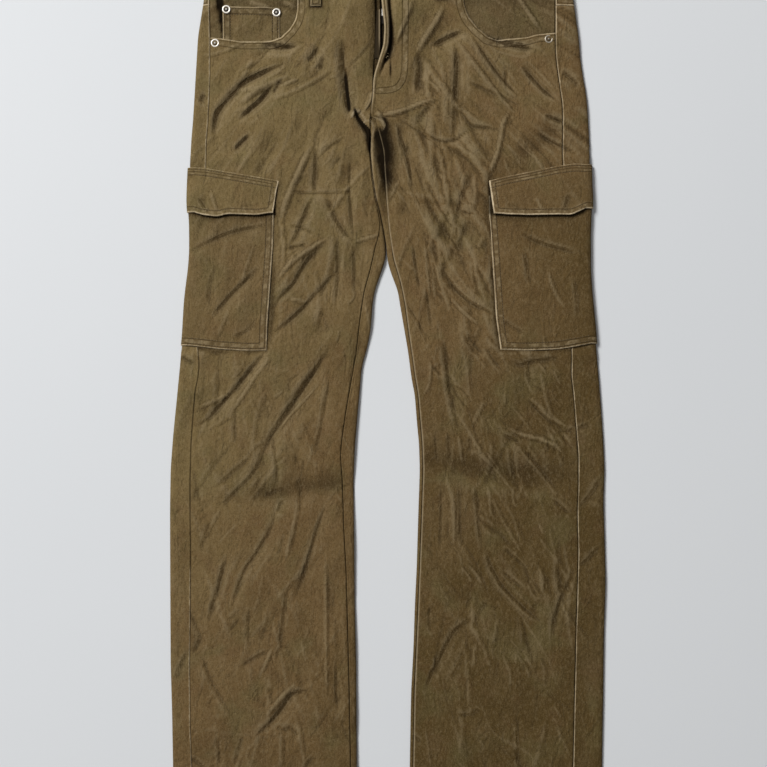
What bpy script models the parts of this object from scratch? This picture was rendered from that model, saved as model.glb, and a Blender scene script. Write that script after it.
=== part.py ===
"""Cargo pants laid flat on their back, front up: each cut and sewn piece is its own closed solid.

Frame: +X to the wearer's left, +Y towards the waist, +Z up from the surface, origin under the middle.
The tables and sizes are in millimetres; meshes are made in metres.
"""

import math
from collections import namedtuple

import bmesh
import bpy
import numpy as np

MM = 0.001

# Cloth and clearances
PLY = 1.1  # wall of one layer of cloth
BAND_WALL = 1.8  # doubled cloth of the waistband
LOOP_WALL = 1.4
GAP = 0.3  # between pieces that are sewn together or lie on each other
STEP_OUT = PLY + GAP  # how far a piece's face stands off the piece under it

# Heights of the laid garment
LEG_HEIGHT = 5.4  # outer face to outer face of a leg
WAIST_EXTRA = 2.1
POCKET_EXTRA = 1.5
BAND_PROUD = 0.5
FLY_FLAT = 30.0  # the fronts keep the fly's height this far from it
LOOP_LIFT = 1.7  # the back rests this high on its loops

# Lines across the garment
HEM_Y = -518.0
CROTCH_Y = 302.0
FRONT_SEAM_Y = 452.0
SIDE_SEAM_Y = 454.0
BACK_SEAM_Y = 478.0
BAND_HEIGHT = 40.0
YOKE_SIDE_Y = 435.0
YOKE_CENTRE_Y = 398.0
POCKET_WRAP = 63.0  # how far a cargo pocket reaches onto the back
POCKET_REACH = 126.0  # how far from the edge the front is raised by it

EdgeRow = namedtuple("EdgeRow", "y outer side")
InnerRow = namedtuple("InnerRow", "y inseam inner")
RiseRow = namedtuple("RiseRow", "y right left seat right_z left_z")
OpeningRow = namedtuple("OpeningRow", "y x")
OutlineRow = namedtuple("OutlineRow", "x top bottom")
FoldRow = namedtuple("FoldRow", "x0 y0 x1 y1 height width")

RIGHT_EDGES = (
    EdgeRow(520, -213.0, -208.5),
    EdgeRow(478, -218.5, -213.5),
    EdgeRow(452, -220.5, -215.2),
    EdgeRow(440, -222.0, -215.0),
    EdgeRow(400, -229.0, -214.3),
    EdgeRow(350, -232.0, -214.3),
    EdgeRow(300, -235.0, -216.4),
    EdgeRow(248, -238.5, -218.6),
    EdgeRow(186, -239.4, -222.0),
    EdgeRow(130, -238.9, -224.6),
    EdgeRow(104, -241.6, -225.8),
    EdgeRow(44, -247.6, -229.0),
    EdgeRow(18, -250.0, -228.2),
    EdgeRow(-54, -256.0, -234.4),
    EdgeRow(-88, -259.5, -236.8),
    EdgeRow(-138, -262.3, -238.3),
    EdgeRow(-305, -262.2, -237.7),
    EdgeRow(-422, -260.0, -237.7),
    EdgeRow(-520, -258.5, -235.0),
)
RIGHT_INNERS = (
    InnerRow(302, -26.5, -22.0),
    InnerRow(269, -27.5, -23.0),
    InnerRow(237, -25.0, -20.4),
    InnerRow(206, -20.3, -15.8),
    InnerRow(186, -14.7, -10.2),
    InnerRow(162, -11.0, -5.6),
    InnerRow(138, -17.6, -3.6),
    InnerRow(117, -22.2, -8.0),
    InnerRow(95, -28.7, -16.0),
    InnerRow(53, -35.0, -21.0),
    InnerRow(-8, -43.5, -33.0),
    InnerRow(-104, -57.7, -41.0),
    InnerRow(-188, -53.8, -41.4),
    InnerRow(-322, -48.7, -39.7),
    InnerRow(-520, -44.5, -37.5),
)
LEFT_EDGES = (
    EdgeRow(520, 213.0, 193.0),
    EdgeRow(478, 218.5, 198.0),
    EdgeRow(452, 220.5, 200.2),
    EdgeRow(400, 228.5, 200.2),
    EdgeRow(350, 234.0, 204.0),
    EdgeRow(310, 239.4, 209.0),
    EdgeRow(270, 241.8, 208.8),
    EdgeRow(248, 241.7, 209.6),
    EdgeRow(186, 242.8, 212.3),
    EdgeRow(130, 242.4, 215.0),
    EdgeRow(104, 243.0, 216.4),
    EdgeRow(44, 248.4, 219.2),
    EdgeRow(18, 251.0, 219.5),
    EdgeRow(-14, 252.8, 219.5),
    EdgeRow(-64, 256.8, 224.9),
    EdgeRow(-121, 260.0, 228.0),
    EdgeRow(-161, 258.6, 226.6),
    EdgeRow(-255, 261.2, 227.2),
    EdgeRow(-322, 259.2, 224.9),
    EdgeRow(-520, 256.0, 220.5),
)
LEFT_INNERS = (
    InnerRow(302, -16.5, -21.2),
    InnerRow(262, -8.0, -21.9),
    InnerRow(230, -5.5, -18.7),
    InnerRow(206, -2.8, -15.0),
    InnerRow(186, -1.0, -9.4),
    InnerRow(162, 0.8, -4.8),
    InnerRow(132, 6.0, -1.6),
    InnerRow(112, 12.0, 4.0),
    InnerRow(80, 19.0, 13.3),
    InnerRow(47, 23.9, 19.2),
    InnerRow(21, 28.0, 23.5),
    InnerRow(-31, 35.6, 31.6),
    InnerRow(-88, 40.6, 36.6),
    InnerRow(-121, 41.7, 37.7),
    InnerRow(-188, 39.6, 35.6),
    InnerRow(-288, 35.6, 31.6),
    InnerRow(-389, 31.2, 27.2),
    InnerRow(-520, 29.0, 25.0),
)
# Where the fronts end at the fly and rise, the seat seam under them, and the fronts' heights there
RISE = (
    RiseRow(480, -17.0, -9.5, -4.0, 7.5, 9.3),
    RiseRow(437, -16.5, -8.0, -4.0, 7.5, 9.3),
    RiseRow(408, -16.0, -4.5, -4.5, 7.5, 9.3),
    RiseRow(388, -16.5, -5.7, -6.0, 7.5, 9.3),
    RiseRow(374, -17.5, -10.0, -9.0, 7.5, 9.2),
    RiseRow(356, -19.0, -15.8, -13.0, 7.4, 9.0),
    RiseRow(332, -19.0, -18.4, -17.5, 5.8, 6.4),
    RiseRow(302, -22.0, -21.4, -21.6, 5.0, 4.8),
    RiseRow(230, -20.0, -18.0, -18.0, 5.4, 4.8),
    RiseRow(120, -8.0, 2.0, 0.0, 5.4, 5.4),
)
RIGHT_OPENING = (
    OpeningRow(480, -109.5),
    OpeningRow(430, -109.2),
    OpeningRow(417, -112.0),
    OpeningRow(405, -120.0),
    OpeningRow(397, -130.0),
    OpeningRow(300, -128.0),
    OpeningRow(-520, -145.0),
)
LEFT_OPENING = (
    OpeningRow(480, 89.5),
    OpeningRow(435, 91.3),
    OpeningRow(422, 96.0),
    OpeningRow(408, 107.0),
    OpeningRow(398, 120.0),
    OpeningRow(300, 122.0),
    OpeningRow(-520, 140.0),
)
# Lower edge of each hand-pocket opening, from the side seam inwards
RIGHT_LIP = (
    OpeningRow(397.0, -214.0),
    OpeningRow(392.5, -180.0),
    OpeningRow(392.5, -150.0),
    OpeningRow(397.0, -130.0),
)
LEFT_LIP = (
    OpeningRow(402.0, 200.0),
    OpeningRow(399.0, 170.0),
    OpeningRow(395.5, 140.0),
    OpeningRow(396.5, 120.0),
)

RIGHT_FLAP = (
    OutlineRow(-245.0, 242.0, 189.0),
    OutlineRow(-222.0, 240.5, 183.4),
    OutlineRow(-205.0, 237.6, 181.3),
    OutlineRow(-182.0, 233.6, 184.7),
    OutlineRow(-155.0, 229.0, 183.4),
    OutlineRow(-131.0, 224.7, 186.0),
)
RIGHT_POCKET = (
    OutlineRow(-250.0, 224.0, 29.0),
    OutlineRow(-219.0, 222.0, 26.0),
    OutlineRow(-195.0, 218.0, 23.0),
    OutlineRow(-163.0, 212.0, 21.0),
    OutlineRow(-137.6, 206.0, 21.3),
)
LEFT_FLAP = (
    OutlineRow(120.4, 224.7, 185.2),
    OutlineRow(140.7, 230.0, 184.0),
    OutlineRow(168.4, 235.4, 183.4),
    OutlineRow(201.6, 242.4, 184.0),
    OutlineRow(218.2, 244.6, 183.4),
    OutlineRow(247.0, 244.7, 193.5),
)
LEFT_POCKET = (
    OutlineRow(121.0, 206.0, 22.2),
    OutlineRow(157.0, 214.0, 21.3),
    OutlineRow(196.0, 223.0, 22.8),
    OutlineRow(220.0, 226.0, 26.8),
    OutlineRow(251.0, 226.5, 31.0),
)
# Inner edges of the cargo pockets and flaps, top to bottom
RIGHT_FLAP_EDGE = (OpeningRow(225, -131.0), OpeningRow(213, -134.0), OpeningRow(183, -138.0))
RIGHT_POCKET_EDGE = (
    OpeningRow(230, -137.6),
    OpeningRow(145, -138.5),
    OpeningRow(99, -141.7),
    OpeningRow(20, -146.0),
)
LEFT_FLAP_EDGE = (OpeningRow(225, 120.4), OpeningRow(209, 122.6), OpeningRow(183, 126.0))
LEFT_POCKET_EDGE = (
    OpeningRow(230, 120.4),
    OpeningRow(136, 124.0),
    OpeningRow(62, 128.7),
    OpeningRow(20, 134.3),
)

RIGHT_FOLDS = (
    FoldRow(-53, 383, -49, 307, -0.9, 9),
    FoldRow(-124, 364, -206, 305, -0.9, 14),
    FoldRow(-93, 269, -130, 178, 1.3, 12),
    FoldRow(-75, 156, -132, 106, 1.2, 13),
    FoldRow(-75, 21, -138, -72, -1.2, 15),
    FoldRow(-150, 10, -225, -58, -0.9, 12),
    FoldRow(-56, -122, -165, -152, -1.3, 18),
    FoldRow(-118, -395, -165, -442, -0.9, 12),
)
LEFT_FOLDS = (
    FoldRow(65, 431, 33, 379, 1.2, 12),
    FoldRow(8, 306, 57, 324, 1.2, 11),
    FoldRow(125, 363, 199, 324, -0.9, 14),
    FoldRow(141, 306, 131, 258, 1.2, 12),
    FoldRow(66, 150, 80, 40, -0.9, 14),
    FoldRow(43, -112, 224, -122, -1.3, 16),
    FoldRow(78, -15, 84, -70, -0.9, 12),
    FoldRow(85, -295, 45, -380, -0.9, 12),
    FoldRow(140, -275, 196, -305, -0.9, 12),
)

# Rows of the panels below the yoke or the hand-pocket lips, waist to hem
HIP_YS = (378, 352, 330, 314)
LEG_YS = (
    302, 284, 262, 248, 222, 186, 160, 130, 104, 74, 44, 18, 4,
    -30, -64, -94, -120, -148, -180, -240, -310, -380, -440, HEM_Y,
)
FRONT_WAIST_YS = (FRONT_SEAM_Y - GAP, 430, 417, 405)
BACK_FROM_FOLD = (32.0, 66.0, 86.0)  # columns of the back by its outer fold, in from it
BACK_SHARES = (0.35, 0.68, 1.0)  # and of the rest of the way
HIP_SHARES = (0.0, 0.25, 0.55, 0.88)  # rows of a back from its yoke seam down to the crotch
YOKE_SHARES = (0.0, 0.45, 1.0)
FOLD_ANGLES = (90, 45, 0, -45, -90)
CENTRE_SHARES = (0.0, 0.3, 0.62, 0.84, 1.0)  # of a front between its pocket line and its rise or inseam
OUTER_SHARES = (0.0, 0.25, 0.55, 1.0)  # of a front between its side seam and its pocket line

CLOTH = ((0.135, 0.098, 0.045), 0.88, 0.0)
SHADED_CLOTH = ((0.105, 0.076, 0.036), 0.9, 0.0)
SILVER = ((0.62, 0.61, 0.58), 0.32, 1.0)
BRASS = ((0.45, 0.34, 0.18), 0.35, 1.0)


def smooth(value, low, high):
    """A soft step from 0 at low to 1 at high."""
    t = min(max((value - low) / (high - low), 0.0), 1.0)
    return t * t * (3.0 - 2.0 * t)


def mix(a, b, t):
    return a + (b - a) * t


def along(rows, y, column):
    """The named column of a table at height y, straight between its rows."""
    pairs = sorted((row.y, getattr(row, column)) for row in rows)
    return float(np.interp(y, [p[0] for p in pairs], [p[1] for p in pairs]))


def across(rows, x, column):
    """The named column of a table at x, straight between its rows."""
    pairs = sorted((row.x, getattr(row, column)) for row in rows)
    return float(np.interp(x, [p[0] for p in pairs], [p[1] for p in pairs]))


def fold_height(folds, x, y):
    """Sum of the soft ridges and troughs at a point."""
    total = 0.0
    for fold in folds:
        dx, dy = fold.x1 - fold.x0, fold.y1 - fold.y0
        length = math.hypot(dx, dy)
        t = ((x - fold.x0) * dx + (y - fold.y0) * dy) / length**2
        away = abs((x - fold.x0) * dy - (y - fold.y0) * dx) / length
        past = max(-t, t - 1.0, 0.0) * length
        total += fold.height * math.exp(-((away / fold.width) ** 2) - (past / fold.width) ** 2)
    return total


class Leg:
    """One half of the garment as a flattened tube, with points on its top, its folds and its underside."""

    def __init__(self, name, way, edges, inners, folds, rise_z):
        self.name = name
        self.way = way  # from the middle towards this leg's outer edge
        self.edges = edges
        self.inners = inners
        self.folds = folds
        self.rise_z = rise_z

    def outer(self, y):
        return along(self.edges, y, "outer")

    def side(self, y):
        return along(self.edges, y, "side")

    def inner(self, y):
        return along(self.inners, y, "inner")

    def inseam(self, y):
        return along(self.inners, y, "inseam")

    def by_pocket(self, x, y, reach):
        """1 under the cargo pocket, as far as its reach from the edge, 0 away from it."""
        from_edge = abs(x - self.outer(y))
        beyond = smooth(from_edge, reach, reach + 18.0)
        return (1.0 - beyond) * smooth(y, 2, 16) * (1.0 - smooth(y, 250, 262))

    def bottom(self, x, y):
        """Height of the underside: flat, but for what it lies on."""
        wrapped = self.by_pocket(x, y, POCKET_WRAP + 3.0)
        return LOOP_LIFT * smooth(y, 405, 441) + STEP_OUT * wrapped * (1.0 + smooth(y, 162, 180))

    def top(self, x, y):
        """Height of the upper face."""
        covered = self.by_pocket(x, y, POCKET_REACH)
        base = LEG_HEIGHT + WAIST_EXTRA * smooth(y, 395, 448) + POCKET_EXTRA * covered
        base += fold_height(self.folds, x, y) * (1.0 - smooth(y, 395, 430)) * (1.0 - covered)
        near_rise = 1.0 - smooth(abs(x - along(RISE, y, self.name)), FLY_FLAT, FLY_FLAT + 36.0)
        near_rise *= smooth(y, 125, 200)
        return mix(base, along(RISE, y, self.rise_z), near_rise)

    def on_top(self, x, y, out=0.0):
        return (x, y, self.top(x, y) + out)

    def beneath(self, x, y, out=0.0):
        return (x, y, self.bottom(x, y) - out)

    def fold(self, edge, way, degrees, y, out=0.0):
        """A point on the round fold at an edge; 90 degrees is its top and -90 its underside."""
        low, high = self.bottom(edge, y), self.top(edge, y)
        radius = (high - low) / 2.0
        angle = math.radians(degrees)
        x = edge - way * radius + way * (radius + out) * math.cos(angle)
        return (x, y, (low + high) / 2.0 + (radius + out) * math.sin(angle))

    def outer_fold(self, degrees, y, out=0.0):
        return self.fold(self.outer(y), self.way, degrees, y, out)

    def inner_fold(self, degrees, y):
        return self.fold(self.inner(y), -self.way, degrees, y)


RIGHT = Leg("right", -1, RIGHT_EDGES, RIGHT_INNERS, RIGHT_FOLDS, "right_z")
LEFT = Leg("left", 1, LEFT_EDGES, LEFT_INNERS, LEFT_FOLDS, "left_z")


def clear_scene():
    for old in list(bpy.data.objects):
        bpy.data.objects.remove(old, do_unlink=True)


def finish_of(name, finish):
    """The piece's own Principled material."""
    colour, roughness, metallic = finish
    material = bpy.data.materials.new(name)
    material.use_nodes = True
    shader = material.node_tree.nodes["Principled BSDF"]
    shader.inputs["Base Color"].default_value = (*colour, 1.0)
    shader.inputs["Roughness"].default_value = roughness
    shader.inputs["Metallic"].default_value = metallic
    material.diffuse_color = (*colour, 1.0)
    return material


def object_from(name, bm, finish, location=(0.0, 0.0, 0.0)):
    mesh = bpy.data.meshes.new(name)
    bm.to_mesh(mesh)
    bm.free()
    mesh.shade_smooth()
    mesh.set_sharp_from_angle(angle=math.radians(40))
    mesh.materials.append(finish_of(name, finish))
    piece = bpy.data.objects.new(name, mesh)
    piece.location = location
    bpy.context.scene.collection.objects.link(piece)
    return piece


def cloth_piece(name, rows, wall=PLY, turned=False, finish=CLOTH):
    """A sheet through rows of points, None where it is cut away, thickened inwards to one closed wall."""
    bm = bmesh.new()
    grid = [[p and bm.verts.new([c * MM for c in p]) for p in row] for row in rows]
    for upper, lower in zip(grid, grid[1:]):
        for a, b, c, d in zip(upper, upper[1:], lower[1:], lower):
            if a and b and c and d:
                bm.faces.new((a, d, c, b) if turned else (a, b, c, d))
    bmesh.ops.delete(bm, geom=[v for v in bm.verts if not v.link_faces], context="VERTS")
    piece = object_from(name, bm, finish)
    shell = piece.modifiers.new("wall", "SOLIDIFY")
    shell.thickness = wall * MM
    shell.offset = -1.0
    shell.use_even_offset = True
    shell.use_quality_normals = True
    return piece


def turned_piece(name, profile, place, finish, steps=12):
    """A solid turned about its own vertical axis, from (radius, height) pairs that start and end on it."""
    bm = bmesh.new()
    verts = [bm.verts.new((r * MM, 0.0, z * MM)) for r, z in profile]
    edges = [bm.edges.new(pair) for pair in zip(verts, verts[1:])]
    bmesh.ops.spin(
        bm, geom=verts + edges, axis=(0, 0, 1), cent=(0, 0, 0), angle=math.tau, steps=steps, use_merge=True
    )
    bmesh.ops.remove_doubles(bm, verts=bm.verts, dist=0.00001)
    bmesh.ops.recalc_face_normals(bm, faces=bm.faces)
    return object_from(name, bm, finish, [c * MM for c in place])


def block_piece(name, size, place, finish, bevel=0.25):
    """A small block with softened edges; place is the middle of its underside."""
    bm = bmesh.new()
    bmesh.ops.create_cube(bm, size=1.0)
    bmesh.ops.scale(bm, vec=[s * MM for s in size], verts=bm.verts)
    bmesh.ops.translate(bm, vec=(0, 0, size[2] * MM / 2), verts=bm.verts)
    bmesh.ops.bevel(
        bm, geom=bm.edges[:], offset=bevel * MM, segments=1, profile=0.5, affect="EDGES", material=-1
    )
    return object_from(name, bm, finish, [c * MM for c in place])


def front_panel(leg, opening, lip):
    """A front: its upper outer corner is cut away along the hand-pocket opening."""
    half = GAP / 2

    def inner_x(y):
        if y > CROTCH_Y:
            return along(RISE, y, leg.name) + leg.way * half
        return leg.inseam(y) + leg.way * half

    def columns_at(y):
        side, line = leg.side(y) - leg.way * half, along(opening, y, "x")
        outer_part = [mix(side, line, t) for t in OUTER_SHARES]
        return outer_part + [mix(line, inner_x(y), t) for t in CENTRE_SHARES[1:]]

    cut = [None] * (len(OUTER_SHARES) - 1)
    rows = [cut + [leg.on_top(x, y) for x in columns_at(y)[len(cut) :]] for y in FRONT_WAIST_YS]
    rows.append([leg.on_top(x, across(lip, x, "y")) for x in columns_at(lip[-1].y)])
    rows += [[leg.on_top(x, y) for x in columns_at(y)] for y in HIP_YS + LEG_YS]
    cloth_piece(f"front_{leg.name}", rows, turned=leg.way < 0)


def back_y(share, seam_side, seam_centre):
    """Height of a curved seam across the back, from the outer fold to the seat seam."""
    return mix(seam_side, seam_centre, smooth(share, 0.0, 1.0))


def seat_x(leg, y):
    return along(RISE, y, "seat") + leg.way * GAP / 2


def back_columns(leg, low, high):
    """The x of each column between the outer fold and the seat seam or inner fold."""
    near = [low - leg.way * distance for distance in BACK_FROM_FOLD]
    return near + [mix(near[-1], high, share) for share in BACK_SHARES]


def side_strip(leg, y):
    """From the side seam round the outer fold."""
    start = leg.side(y) + leg.way * GAP / 2
    row = [leg.on_top(start, y), leg.on_top(mix(start, leg.outer_fold(90, y)[0], 0.5), y)]
    return row + [leg.outer_fold(a, y) for a in FOLD_ANGLES]


def back_hip_row(leg, y_of):
    """From the side seam round the outer fold to the seat seam; y_of gives y for a share of the way."""
    row = side_strip(leg, y_of(0.0))
    low = row[-1][0]
    for x in back_columns(leg, low, seat_x(leg, BACK_SEAM_Y)):
        share = abs(x - low) / abs(low - seat_x(leg, BACK_SEAM_Y))
        y = y_of(share)
        row.append(leg.beneath(mix(low, seat_x(leg, y), share), y))
    return row


def back_leg_row(leg, y):
    """The same below the crotch, where the row goes on round the inner fold to the inseam."""
    row = side_strip(leg, y)
    row += [leg.beneath(x, y) for x in back_columns(leg, row[-1][0], leg.inner_fold(-90, y)[0])]
    row += [leg.inner_fold(a, y) for a in reversed(FOLD_ANGLES[:-1])]
    row.append(leg.on_top(leg.inseam(y) - leg.way * GAP / 2, y))
    return row


def back_panel(leg):
    """A back: its hips run to the seat seam, and its leg goes on round the inner fold to the inseam."""

    def hip_row(share_down):
        def y_of(share):
            yoke = back_y(share, YOKE_SIDE_Y, YOKE_CENTRE_Y) - GAP / 2
            return mix(yoke, CROTCH_Y, share_down)

        return back_hip_row(leg, y_of)

    legs = [back_leg_row(leg, y) for y in LEG_YS]
    hips = [hip_row(t) for t in HIP_SHARES]
    missing = [None] * (len(legs[0]) - len(hips[0]))
    cloth_piece(f"back_{leg.name}", [row + missing for row in hips] + legs, turned=leg.way > 0)


def yoke(leg):
    """The shaped strip between the back panel and the waistband, showing at the side of the front."""

    def y_at(share, down):
        waist = back_y(share, SIDE_SEAM_Y, BACK_SEAM_Y) - GAP / 2
        return mix(waist, back_y(share, YOKE_SIDE_Y, YOKE_CENTRE_Y) + GAP / 2, down)

    rows = [back_hip_row(leg, lambda share, down=down: y_at(share, down)) for down in YOKE_SHARES]
    cloth_piece(f"yoke_{leg.name}", rows, turned=leg.way > 0)


OVERLAP_X = (-9.3, 8, 26, 60, 100, 150, 195)  # the waistband's left front, from its end at the fly
UNDERLAP_X = (-195, -150, -100, -60, -34, -12, 10, 27)  # its right front, to the end under the left one
UNDERLAP_TOP = 7.7  # height of the end that the other laps over


def band_row(up):
    """One row of the waistband, from its end at the fly round the back to its end under the other."""
    front_y = FRONT_SEAM_Y + GAP / 2 + up * BAND_HEIGHT
    side_y = SIDE_SEAM_Y + GAP / 2 + up * BAND_HEIGHT
    row = []
    for x in OVERLAP_X:
        y = mix(front_y, side_y, smooth(x, 60, 210))
        row.append(LEFT.on_top(x, y, BAND_PROUD))
    row += [LEFT.outer_fold(a, side_y, BAND_PROUD if a > 0 else 0.0) for a in FOLD_ANGLES]
    centre_x = along(RISE, BACK_SEAM_Y, "seat")
    for leg, step in ((LEFT, 1), (RIGHT, -1)):
        low = leg.outer_fold(-90, side_y)[0]
        for x in back_columns(leg, low, centre_x)[::step][(1 - step) // 2 :]:
            share = abs(x - low) / abs(centre_x - low)
            row.append((x, back_y(share, side_y, side_y - SIDE_SEAM_Y + BACK_SEAM_Y), LOOP_LIFT))
    row += [RIGHT.outer_fold(a, side_y, BAND_PROUD if a > 0 else 0.0) for a in reversed(FOLD_ANGLES)]
    for x in UNDERLAP_X:
        y = mix(front_y, side_y, smooth(-x, 60, 210))
        outer = RIGHT.top(min(x, -70), y) + BAND_PROUD
        row.append((x, y, mix(outer, UNDERLAP_TOP, smooth(x, -66, -20))))
    return row


def waistband():
    """One strip round the waist: its left end laps over its right one at the front."""
    cloth_piece("waistband", [band_row(up) for up in (1.0, 0.5, 0.0)], wall=BAND_WALL, turned=True)


FRONT_LOOPS = (-87.0, 64.5)
BACK_LOOPS = (-122.0, -4.0, 114.0)
BACK_LOOP_DROP = 12.0  # the band's curve puts the side loops this much lower than the middle one
LOOP_WIDTH = 13.0
LOOP_BELOW = 18.0  # how far a loop reaches below the waistband's seam


def front_loop(name, leg, x):
    """A loop over the front of the waistband, stitched down on the panel below it."""
    rows = []
    for y in (FRONT_SEAM_Y + BAND_HEIGHT, 470.0, 455.0, 450.0, FRONT_SEAM_Y - LOOP_BELOW):
        on_band = BAND_PROUD if y > FRONT_SEAM_Y - 4 else 0.0
        xs = (x - LOOP_WIDTH / 2, x, x + LOOP_WIDTH / 2)
        rows.append([leg.on_top(px, y, on_band + GAP + LOOP_WALL) for px in xs])
    cloth_piece(name, rows, wall=LOOP_WALL, turned=True)


def back_loop(name, x):
    """A loop under the back: its lower face is the surface that the garment lies on."""
    top = BACK_SEAM_Y + BAND_HEIGHT - BACK_LOOP_DROP * abs(x / BACK_LOOPS[0])
    low = top - BAND_HEIGHT - LOOP_BELOW
    xs = (x - LOOP_WIDTH / 2, x + LOOP_WIDTH / 2)
    cloth_piece(name, [[(px, y, 0.0) for px in xs] for y in (top, low)], wall=LOOP_WALL)


def belt_loops():
    front_loop("belt_loop_1", RIGHT, FRONT_LOOPS[0])
    front_loop("belt_loop_2", LEFT, FRONT_LOOPS[1])
    for number, x in enumerate(BACK_LOOPS, start=3):
        back_loop(f"belt_loop_{number}", x)


def pocket_facing(leg, opening, depth):
    """The cloth that closes a hand-pocket opening from behind, a little wider than the opening."""
    rows = []
    for y in (FRONT_SEAM_Y - GAP, 436, 420, 404, 392, 376):
        side = leg.side(y) - leg.way * GAP
        line = along(opening, y, "x") - leg.way * 13.0
        rows.append([leg.on_top(mix(side, line, t), y, -depth) for t in (0.0, 0.2, 0.5, 0.8, 1.0)])
    cloth_piece(f"pocket_facing_{leg.name}", rows, turned=leg.way < 0, finish=SHADED_CLOTH)


COIN_LEFT, COIN_RIGHT, COIN_TOP = -199.0, -130.5, 434.0


def coin_pocket():
    """The small pocket on the right facing; its bottom is behind the front."""
    rows = []
    for y in (COIN_TOP, 418, 404, 392, 380):
        shares = (0.0, 0.33, 0.67, 1.0)
        rows.append([RIGHT.on_top(mix(COIN_LEFT, COIN_RIGHT, t), y, -STEP_OUT) for t in shares])
    cloth_piece("coin_pocket", rows, turned=True)


def cargo_piece(name, leg, outline, edge, wrap, levels):
    """A pocket or flap on the side of a leg: from its front edge, round the outer fold, onto the back.

    Each level is a height, or a drop below the outline's top or bottom, with how far it stands off the leg.
    """

    def level_y(x, kind, value):
        return value if kind == "at" else across(outline, x, kind) - value

    rows = []
    for kind, value, out in levels:
        row = []
        for share in (0.0, 0.3, 0.65, 1.0):
            x = mix(along(edge, 200, "x"), leg.outer(200) - leg.way * 4, share)
            y = level_y(x, kind, value)
            x = mix(along(edge, y, "x"), leg.outer_fold(90, y)[0], share)
            row.append(leg.on_top(x, y, out))
        y = level_y(leg.way * 260, kind, value)
        row += [leg.outer_fold(a, y, out) for a in FOLD_ANGLES[1:]]
        low = leg.outer_fold(-90, y)[0]
        row += [leg.beneath(mix(low, leg.outer(y) - leg.way * wrap, t), y, out) for t in (0.5, 1.0)]
        rows.append(row)
    cloth_piece(name, rows, turned=leg.way > 0)


def cargo_pockets():
    pocket_levels = [("top", 0.0, STEP_OUT)]
    pocket_levels += [("at", y, STEP_OUT) for y in (186, 160, 130, 104, 44)]
    pocket_levels.append(("bottom", 0.0, STEP_OUT))
    flap_levels = (("top", 0.0, STEP_OUT), ("top", 14.0, 2 * STEP_OUT), ("bottom", 0.0, 2 * STEP_OUT))
    for leg, pocket, pocket_edge, flap, flap_edge in (
        (RIGHT, RIGHT_POCKET, RIGHT_POCKET_EDGE, RIGHT_FLAP, RIGHT_FLAP_EDGE),
        (LEFT, LEFT_POCKET, LEFT_POCKET_EDGE, LEFT_FLAP, LEFT_FLAP_EDGE),
    ):
        cargo_piece(f"cargo_pocket_{leg.name}", leg, pocket, pocket_edge, POCKET_WRAP, pocket_levels)
        cargo_piece(f"cargo_flap_{leg.name}", leg, flap, flap_edge, POCKET_WRAP + 2.0, flap_levels)


FLY_YS = (FRONT_SEAM_Y - GAP, 430, 405, 378, 352)
CHAIN_X, CHAIN_WIDTH, CHAIN_TOP, CHAIN_BOTTOM = -2.5, 5.0, 421.0, 372.0
SHIELD_X = (-34.0, 14.0)
TAPE_EDGES = (-19.0, 14.0)
TAPE_WALL = 0.8
SHIELD_Z, RIGHT_TAPE_Z, LEFT_TAPE_Z, CHAIN_Z, SLIDER_Z, PULL_Z = 4.4, 5.6, 6.4, 4.9, 4.7, 6.9
SLIDER_LENGTH, PULL_LENGTH = 12.0, 22.0


def strip(name, ys, left_of, right_of, face_z, wall=PLY, shares=(0.0, 0.5, 1.0), finish=CLOTH):
    """A strip between two edges that may lean, its upper face at face_z(x, y)."""
    rows = []
    for y in ys:
        xs = [mix(left_of(y), right_of(y), t) for t in shares]
        rows.append([(x, y, face_z(x, y)) for x in xs])
    cloth_piece(name, rows, wall=wall, turned=True, finish=finish)


def flat_strip(name, ys, ends, height, wall):
    strip(name, ys, lambda y: ends[0], lambda y: ends[1], lambda x, y: height, wall, (0.0, 1.0))


def fly():
    """The facing under the left front's edge, the shield behind the zip, and the zip between them."""
    strip(
        "fly_facing", FLY_YS,
        left_of=lambda y: along(RISE, y, "left") + 6.5,
        right_of=lambda y: 6.0 + 8.0 * smooth(y, 350, 380),
        face_z=lambda x, y: LEFT.top(x, y) - STEP_OUT,
        finish=SHADED_CLOTH,
    )
    flat_strip("fly_shield", FLY_YS, SHIELD_X, SHIELD_Z, PLY)
    beside_chain = CHAIN_WIDTH / 2 + GAP
    tape_ys = FLY_YS[1:-1]
    flat_strip("zip_tape_right", tape_ys, (TAPE_EDGES[0], CHAIN_X - beside_chain), RIGHT_TAPE_Z, TAPE_WALL)
    flat_strip("zip_tape_left", tape_ys, (CHAIN_X + beside_chain, TAPE_EDGES[1]), LEFT_TAPE_Z, TAPE_WALL)
    middle = (CHAIN_TOP + CHAIN_BOTTOM) / 2
    block_piece("zip_chain", (CHAIN_WIDTH, CHAIN_TOP - CHAIN_BOTTOM, 1.5), (CHAIN_X, middle, CHAIN_Z), BRASS)
    slider_y = CHAIN_TOP + GAP + SLIDER_LENGTH / 2
    block_piece(
        "zip_slider", (CHAIN_WIDTH, SLIDER_LENGTH, 1.9), (CHAIN_X, slider_y, SLIDER_Z), SILVER, bevel=0.5
    )
    pull = (4.4, PULL_LENGTH, 0.9)
    block_piece("zip_pull", pull, (CHAIN_X - 3.4, CHAIN_TOP + 3.0, PULL_Z), SILVER, bevel=0.3)


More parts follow.
